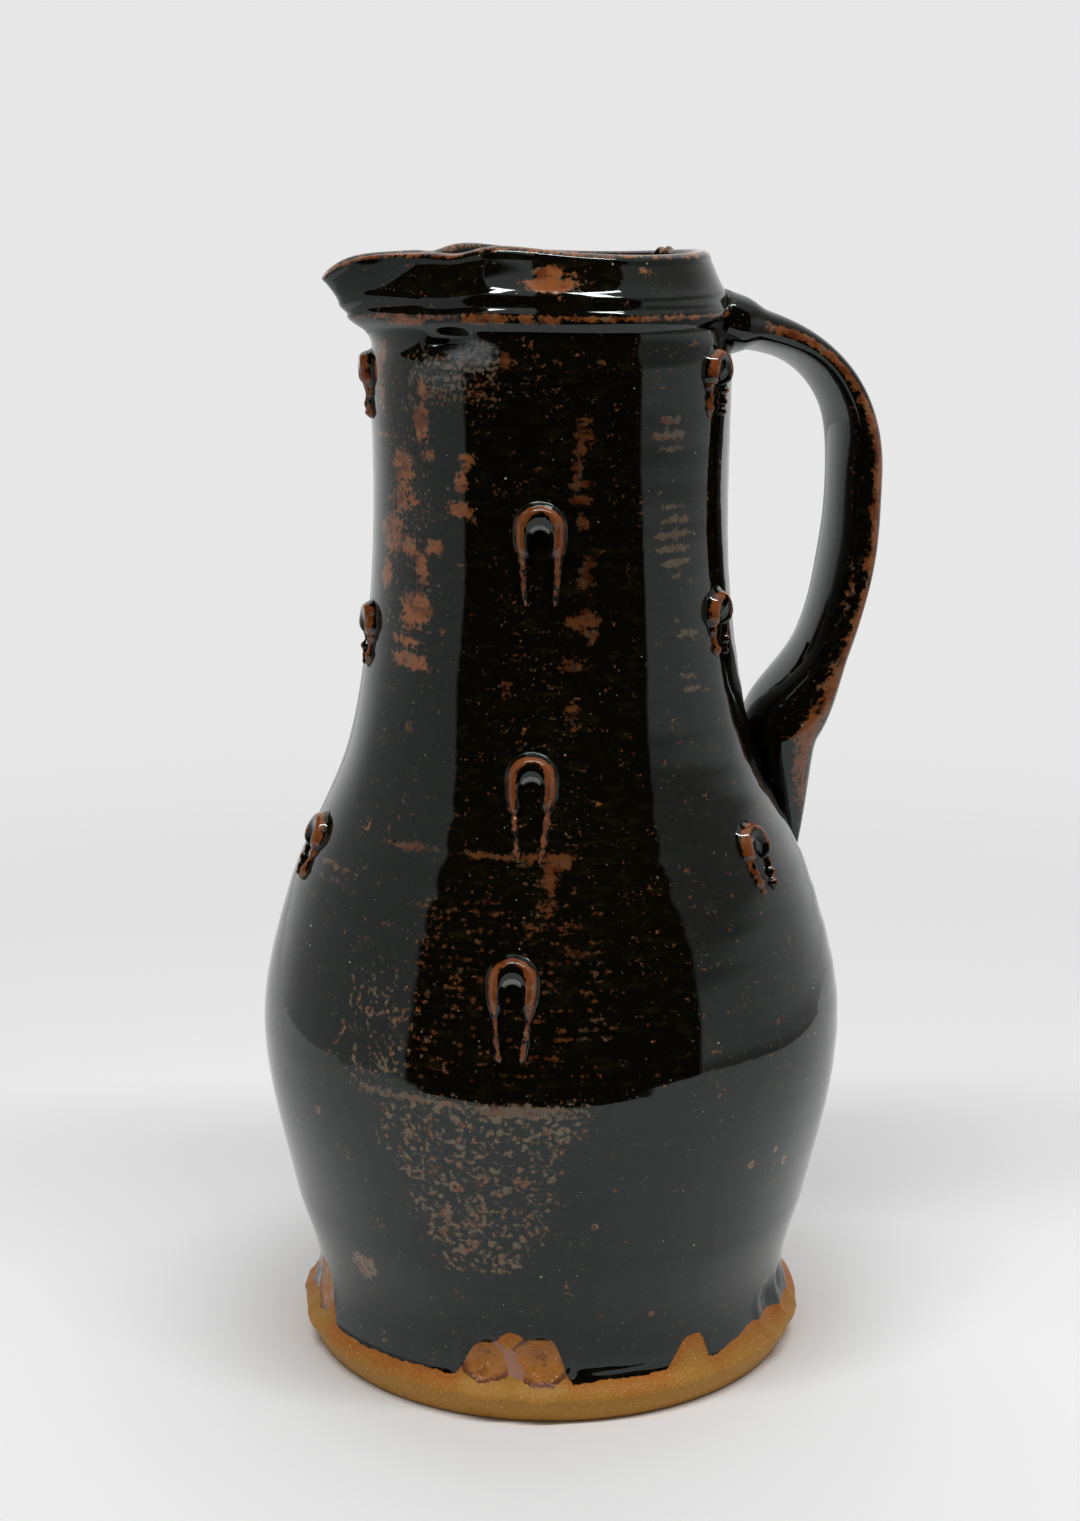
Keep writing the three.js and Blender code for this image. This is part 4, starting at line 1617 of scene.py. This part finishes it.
@dataclass
class HorseshoePrunts:
    """The horseshoe prunts, applied in columns and smoothed down onto the wall."""

    width: float = 0.0152
    ridge: float = 0.0054
    outer_skirt: float = 0.0029
    inner_skirt: float = 0.0024
    stand: float = 0.0031
    leg_end: float = 0.0022
    leg_share: float = 0.42
    droop: float = 0.0032
    leg_bow: float = 0.45
    sides: int = 28
    cuts: int = 60
    sink: float = 0.0006
    look_ahead: float = 0.0003
    line_points: int = 40
    bead_pitch: float = 0.0026
    bead_depth: float = 0.13
    long: float = 0.029
    short: float = 0.020
    leg_gaps: tuple[float, ...] = (0.0058, 0.0034, 0.0036)
    rust: Colour = (0.235, 0.068, 0.018, 1.0)
    pale_reflection: Colour = (0.36, 0.35, 0.31, 1.0)
    crest_gloss: float = 0.04
    pale_reflection_gloss: float = 0.2
    beading: Grain = Grain(0.0022, 2.0, 16.0)
    columns: tuple[tuple[str, tuple[float, ...], tuple[float, ...], bool], ...] = (
        ("front", (-102.2, -104.0, -106.3), (0.264, 0.195, 0.143), True),
        ("handle_near", (-37.2, -35.5, -43.7), (0.3045, 0.236, 0.1705), False),
        ("handle_far", (37.2, 35.5, 43.7), (0.3045, 0.236, 0.1705), False),
        ("back", (102.2, 104.0, 106.3), (0.264, 0.195, 0.143), True),
        ("spout", (179.0, -175.5, -173.5), (0.303, 0.231, 0.1685), False),
    )

    def build(self) -> list[bpy.types.Object]:
        """Rolls one horseshoe and lays a copy of it at each place.

        Returns:
            The finished pieces.
        """
        material = self.finish()
        roll = rolled_clay("prunt_roll", self.sides, self.cuts)
        pieces = []
        for column, angles, tops, is_long in self.columns:
            height = self.long if is_long else self.short
            for row, angle, top, gap in zip(("top", "middle", "low"), angles, tops, self.leg_gaps):
                node = f"prunt_{column}_{row}"
                piece = bpy.data.objects.new(node + "_glazed", roll.data.copy())
                bpy.context.scene.collection.objects.link(piece)
                self.lay(piece, Prunt(angle, top, height, gap))
                piece.data.materials.append(material)
                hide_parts(node)
                pieces.append(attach(piece, BODY))
        bpy.data.objects.remove(roll)
        return pieces

    def line(self, prunt: Prunt) -> Path:
        """Draws a prunt's middle line, laid flat.

        Args:
            prunt: How long it is and how wide its legs stand apart.

        Returns:
            The line up one leg, over the arch and down the other leg.
        """
        arch = (self.width - self.ridge) / 2.0
        leg = prunt.height - self.width / 2.0
        end = (prunt.leg_gap + self.leg_end) / 2.0
        t = np.linspace(0.0, 1.0, self.line_points)[:, None]
        foot = np.array((-end, -leg))
        bend = np.array((-arch, -self.leg_bow * leg))
        top = np.array((-arch, 0.0))
        left = (1 - t) ** 2 * foot + 2 * (1 - t) * t * bend + t**2 * top
        turn = np.pi * (1.0 - t)
        over = np.concatenate((arch * np.cos(turn), arch * np.sin(turn)), axis=1)
        right = left[::-1] * (-1.0, 1.0)
        return Path(np.concatenate((left, over[1:], right[1:])))

    def lay(self, piece: bpy.types.Object, prunt: Prunt) -> None:
        """Bends the roll into a horseshoe, presses its skirt onto the wall, and paints its crest and a pale
        reflection under its arch.

        Args:
            piece: The roll to shape.
            prunt: Where it goes.
        """
        side, out, along = places_of(piece).T
        rim = np.hypot(side, out)
        line = self.line(prunt)
        where = along * line.whole
        centre, ahead = line.at(where), line.ahead(where, self.look_ahead)
        end = np.minimum(along, 1.0 - along)
        leg = 1.0 - smoothstep(end, 0.20, 0.31)
        beads = Wobble(round(prunt.top * 10000.0), 8, 1, self.bead_pitch)(np.zeros_like(along), where)
        share = 1.0 - (1.0 - self.leg_share) * leg + self.bead_depth * beads * leg
        share *= smoothstep(end, -0.02, 0.03)
        half = np.where(side > 0.0, self.inner_skirt, self.outer_skirt) * share
        power = np.where(side > 0.0, 0.7, 1.9)
        bell = np.cos(np.clip(side, -1.0, 1.0) * np.pi / 2.0) ** power
        off = np.where(out >= 0.0, self.stand * share * bell * rim, self.sink * out) - self.sink * 0.5
        across = centre[:, 0] + ahead[:, 1] * side * half
        up = centre[:, 1] - ahead[:, 0] * side * half - self.droop * (1.0 - leg) * np.maximum(side, 0.0)
        arch_height = prunt.top - self.width / 2.0
        put_places(piece, WALL.on(prunt.angle, arch_height, across, up, off))
        top = np.clip(centre[:, 1] / centre[:, 1].max(), 0.0, 1.0)
        crest = hump(side + 0.12 + 0.14 * top**2, 0.64 - 0.32 * top**2, 4.0)
        paint(piece, "crest", np.where(out >= 0.0, crest * rim, 0.0))
        # Painted reflection: a pale crescent under the arch of each long prunt, in place of the bright
        # surroundings reflected there.
        pale_reflection = smoothstep(side, 0.60, 0.74) * (1.0 - smoothstep(side, 0.86, 0.96))
        pale_reflection *= smoothstep(top, 0.35, 0.7)
        paint(piece, "pale_reflection", np.where((out >= 0.0) & (prunt.height > self.short), pale_reflection, 0.0))
        paint(piece, "leg", leg)
        smooth_shading(piece)
        bpy.context.view_layer.objects.active = piece
        bpy.ops.object.mode_set(mode="EDIT")
        bpy.ops.mesh.select_all(action="SELECT")
        bpy.ops.mesh.normals_make_consistent(inside=False)
        bpy.ops.object.mode_set(mode="OBJECT")

    def finish(self) -> bpy.types.Material:
        """Glaze that breaks to rust on the crest and down the legs, with a painted pale reflection under the
        arch.

        Returns:
            The material.
        """
        material, shader = new_material("iron_glaze_prunt")
        beads = shader.noise(self.beading)
        crest = shader.painted("crest") + beads * (shader.painted("leg") * 2.6 + 1.3)
        iron = IronGlaze(rust=self.rust, thin_gloss=self.crest_gloss)
        glaze = iron.surface(shader, Thinning(crest.rise(0.50, 0.80)))
        # A pale, rougher surface that carries the painted reflection under the arch.
        inputs = {"Base Color": self.pale_reflection, "Roughness": self.pale_reflection_gloss}
        pale_reflection_surface = shader.node("ShaderNodeBsdfPrincipled", None, inputs).outputs[0]
        reflection_share = (shader.painted("pale_reflection") + beads * 0.8).rise(0.35, 0.65) * 0.8
        whole = shader.node("ShaderNodeMixShader", None, {0: reflection_share, 1: glaze, 2: pale_reflection_surface})
        shader.finish(whole.outputs[0])
        return material


@dataclass
class Studio:
    """Camera, pale floor, pale walls with a dark opening in front, a dark card and a long soft lamp."""

    distance: float = 0.70303
    eye_height: float = 0.34008
    pitch: float = 12.887
    lens: float = 56.40
    shift: float = -0.00714
    pale: float = 0.80
    floor_pale: float = 0.88
    opening_edges: tuple[float, float] = (-56.5, 50.5)
    opening_top: float = 40.0
    opening_lean: float = 10.0
    skylight_edges: tuple[float, float] = (-12.0, 59.0)
    skylight_top: float = 75.0
    table_front: float = 0.43
    table_side: float = 0.52
    corner_edges: tuple[float, float] = (-135.0, -57.0)
    corner_top: float = 66.0
    corner_foot: float = 0.62
    card_turn: float = -108.0
    card_distance: float = 0.5
    card_width: float = 0.5
    card_span: tuple[float, float] = (0.405, 0.85)
    card_shade: Colour = (0.01, 0.01, 0.01, 1.0)
    wall_light: float = 0.46
    right_shade: float = 0.20
    behind_light: float = 0.38
    behind_shade: float = 0.10
    horizon_light: float = 0.34
    upper_light: float = 0.3
    least_light: float = 0.004
    blend_start: float = 0.32
    blend_end: float = 0.85
    lamp_length: float = 1.5
    lamp_turn: float = 4.0
    lamp_depth: float = 0.09
    lamp_distance: float = 1.25
    lamp_elevation: float = 68.0
    lamp_power: float = 13.5
    lamp_aim: float = 0.25

    def build(self) -> None:
        """Sets up the camera, the floor, the card, the world and the lamp."""
        self.camera()
        self.floor()
        self.card()
        self.world()
        self.lamp()
        bpy.context.scene.view_settings.view_transform = "Standard"

    def toward_view(self, turn: float = 0.0) -> Vector:
        """Level direction from the jug to the camera, turned anticlockwise by some degrees."""
        angle = math.radians(VIEW_ANGLE + turn)
        return Vector((math.cos(angle), math.sin(angle), 0.0))

    def camera(self) -> None:
        """Adds the camera at the photograph's angle."""
        data = bpy.data.cameras.new("camera")
        data.lens = self.lens
        data.sensor_width = 36.0
        data.shift_x = self.shift
        data.clip_start = 0.01
        camera = bpy.data.objects.new("camera", data)
        camera.location = self.toward_view() * self.distance + Vector((0.0, 0.0, self.eye_height))
        camera.rotation_euler = (math.radians(90.0 - self.pitch), 0.0, math.radians(VIEW_ANGLE + 90.0))
        bpy.context.scene.collection.objects.link(camera)
        bpy.context.scene.camera = camera

    def floor(self) -> None:
        """Adds the floor: it fades into the backdrop far off, and reflections see the edges of a table."""
        floor = add_piece("floor", lambda: bpy.ops.mesh.primitive_plane_add(size=6.0))
        material, shader = new_material("pale_floor")
        front = self.along(shader, self.toward_view())
        across = self.along(shader, self.toward_view(90.0))
        far = ((front * front + across * across) ** 0.5).rise(self.blend_start, self.blend_end)
        past_front = (front.most(0.0) / self.table_front) ** 4.0
        past_side = (abs(across) / self.table_side) ** 4.0
        off_table = (past_front + past_side).rise(0.97, 1.03)
        seen = Value(shader, shader.node("ShaderNodeLightPath").outputs["Is Camera Ray"])
        colour = (self.floor_pale, self.floor_pale, self.floor_pale, 1.0)
        pale = shader.node("ShaderNodeBsdfDiffuse", None, {"Color": colour}).outputs[0]
        gone = shader.node("ShaderNodeBsdfTransparent").outputs[0]
        hidden = seen * far + (1.0 - seen) * off_table
        mixed = shader.node("ShaderNodeMixShader", None, {0: hidden, 1: pale, 2: gone})
        shader.finish(mixed.outputs[0])
        floor.data.materials.append(material)

    def card(self) -> None:
        """Adds a dark card beside the lip, which only reflections see."""
        low, high = self.card_span
        card = add_piece("dark_card", lambda: bpy.ops.mesh.primitive_plane_add(size=1.0))
        away = self.toward_view(self.card_turn)
        card.scale = (self.card_width, high - low, 1.0)
        card.location = away * self.card_distance + Vector((0.0, 0.0, (low + high) / 2.0))
        card.rotation_euler = away.to_track_quat("Z", "Y").to_euler()
        card.visible_camera = card.visible_diffuse = card.visible_shadow = False
        material, shader = new_material("dark_card")
        dark = shader.node("ShaderNodeBsdfDiffuse", None, {"Color": self.card_shade})
        shader.finish(dark.outputs[0])
        card.data.materials.append(material)

    @staticmethod
    def along(shader: Shader, direction: Vector) -> Value:
        """Distance along a direction.

        Args:
            shader: The shader to add to.
            direction: The direction, in object coordinates.

        Returns:
            The distance in metres.
        """
        inputs = {0: shader.place(), 1: tuple(direction)}
        node = shader.node("ShaderNodeVectorMath", {"operation": "DOT_PRODUCT"}, inputs)
        return Value(shader, node.outputs["Value"])

    @staticmethod
    def opening(turn: Value, z: Value, edges: tuple[float, float], top: float, lean: float) -> Value:
        """Mask of the directions in a dark opening, from below the horizon up to its top.

        Args:
            turn: The direction's turn to the right of the camera, in radians.
            z: The direction's part along +Z.
            edges: Turns of its left and right edges, in degrees.
            top: Elevation of its top, in degrees.
            lean: How far its right edge leans in above the horizon, in degrees.

        Returns:
            1 in the opening and 0 outside it.
        """
        soft = math.radians(1.2)
        left, right = (math.radians(edge) for edge in edges)
        inside = turn.rise(left - soft, left + soft)
        past = (turn + z.rise(0.02, 0.32) * math.radians(lean)).rise(right - soft, right + soft)
        over = z.rise(math.sin(math.radians(top - 2.0)), math.sin(math.radians(top + 2.0)))
        return inside * (1.0 - past) * (1.0 - over)

    def world(self) -> None:
        """Lights the jug by pale walls and a bright ceiling, with a dark opening toward the camera."""
        world = bpy.data.worlds.new("studio")
        world.use_nodes = True
        bpy.context.scene.world = world
        shader = Shader(world.node_tree)
        ray = shader.node("ShaderNodeTexCoord").outputs["Generated"]
        split = shader.node("ShaderNodeSeparateXYZ", None, {0: ray})
        x, y, z = (Value(shader, output) for output in split.outputs)
        level = ((x * x + y * y) ** 0.5).most(0.0001)
        to_right, to_back = self.toward_view(90.0), self.toward_view(180.0)
        right = (x * to_right.x + y * to_right.y) / level
        back = (x * to_back.x + y * to_back.y) / level
        turn = shader.maths("ARCTAN2", right, 0.0 - back)
        behind = back.rise(0.45, 0.9) * (self.behind_light - right * self.behind_shade)
        level_band = z.rise(-0.22, -0.08) - z.rise(0.06, 0.26)
        band = level_band * right.rise(0.2, 0.8) * self.horizon_light
        shaded = self.wall_light - right.rise(0.0, 1.0) * self.right_shade
        walls = shaded + behind + band + z.rise(0.42, 0.74) * self.upper_light
        ceiling = z.rise(0.84, 0.92)
        pale = walls + ceiling * (1.0 - walls)
        front = self.opening(turn, z, self.opening_edges, self.opening_top, self.opening_lean)
        above = self.opening(turn, z, self.skylight_edges, self.skylight_top, 0.0)
        clear = (z - (turn * 0.5).cosine() * self.corner_foot).rise(0.0, 0.03)
        corner = self.opening(turn, z, self.corner_edges, self.corner_top, 0.0) * clear
        studio = pale * (1.0 - front.most(above).most(corner)) + self.least_light
        seen = Value(shader, shader.node("ShaderNodeLightPath").outputs["Is Camera Ray"])
        light = studio + seen * (self.pale - studio)
        colour = shader.node("ShaderNodeCombineColor", None, {0: light, 1: light, 2: light}).outputs[0]
        surface = shader.node("ShaderNodeBackground", None, {"Color": colour, "Strength": 1.0}).outputs[0]
        shader.finish(surface, "ShaderNodeOutputWorld")

    def lamp(self) -> None:
        """Adds the long soft lamp above the front, aimed at the collar."""
        data = bpy.data.lights.new("long_lamp", "AREA")
        data.shape = "RECTANGLE"
        data.size = self.lamp_length
        data.size_y = self.lamp_depth
        data.energy = self.lamp_power
        lamp = bpy.data.objects.new("long_lamp", data)
        rise = math.radians(self.lamp_elevation)
        aim = Vector((0.0, 0.0, self.lamp_aim))
        away = self.toward_view(self.lamp_turn) * math.cos(rise) + Vector((0.0, 0.0, math.sin(rise)))
        lamp.location = aim + away * self.lamp_distance
        lamp.rotation_euler = away.to_track_quat("Z", "Y").to_euler()
        lamp.visible_camera = False
        bpy.context.scene.collection.objects.link(lamp)


def main() -> None:
    """Builds the studio and the jug, and reports each piece."""
    logging.basicConfig(level=logging.INFO, format="%(message)s")
    Studio().build()
    pieces = [ThrownBody().build(), StrapHandle().build(), *HorseshoePrunts().build()]
    for piece in pieces:
        LOG.info("%s: %d faces", piece.name, len(piece.data.polygons))


if __name__ == "__main__":
    main()
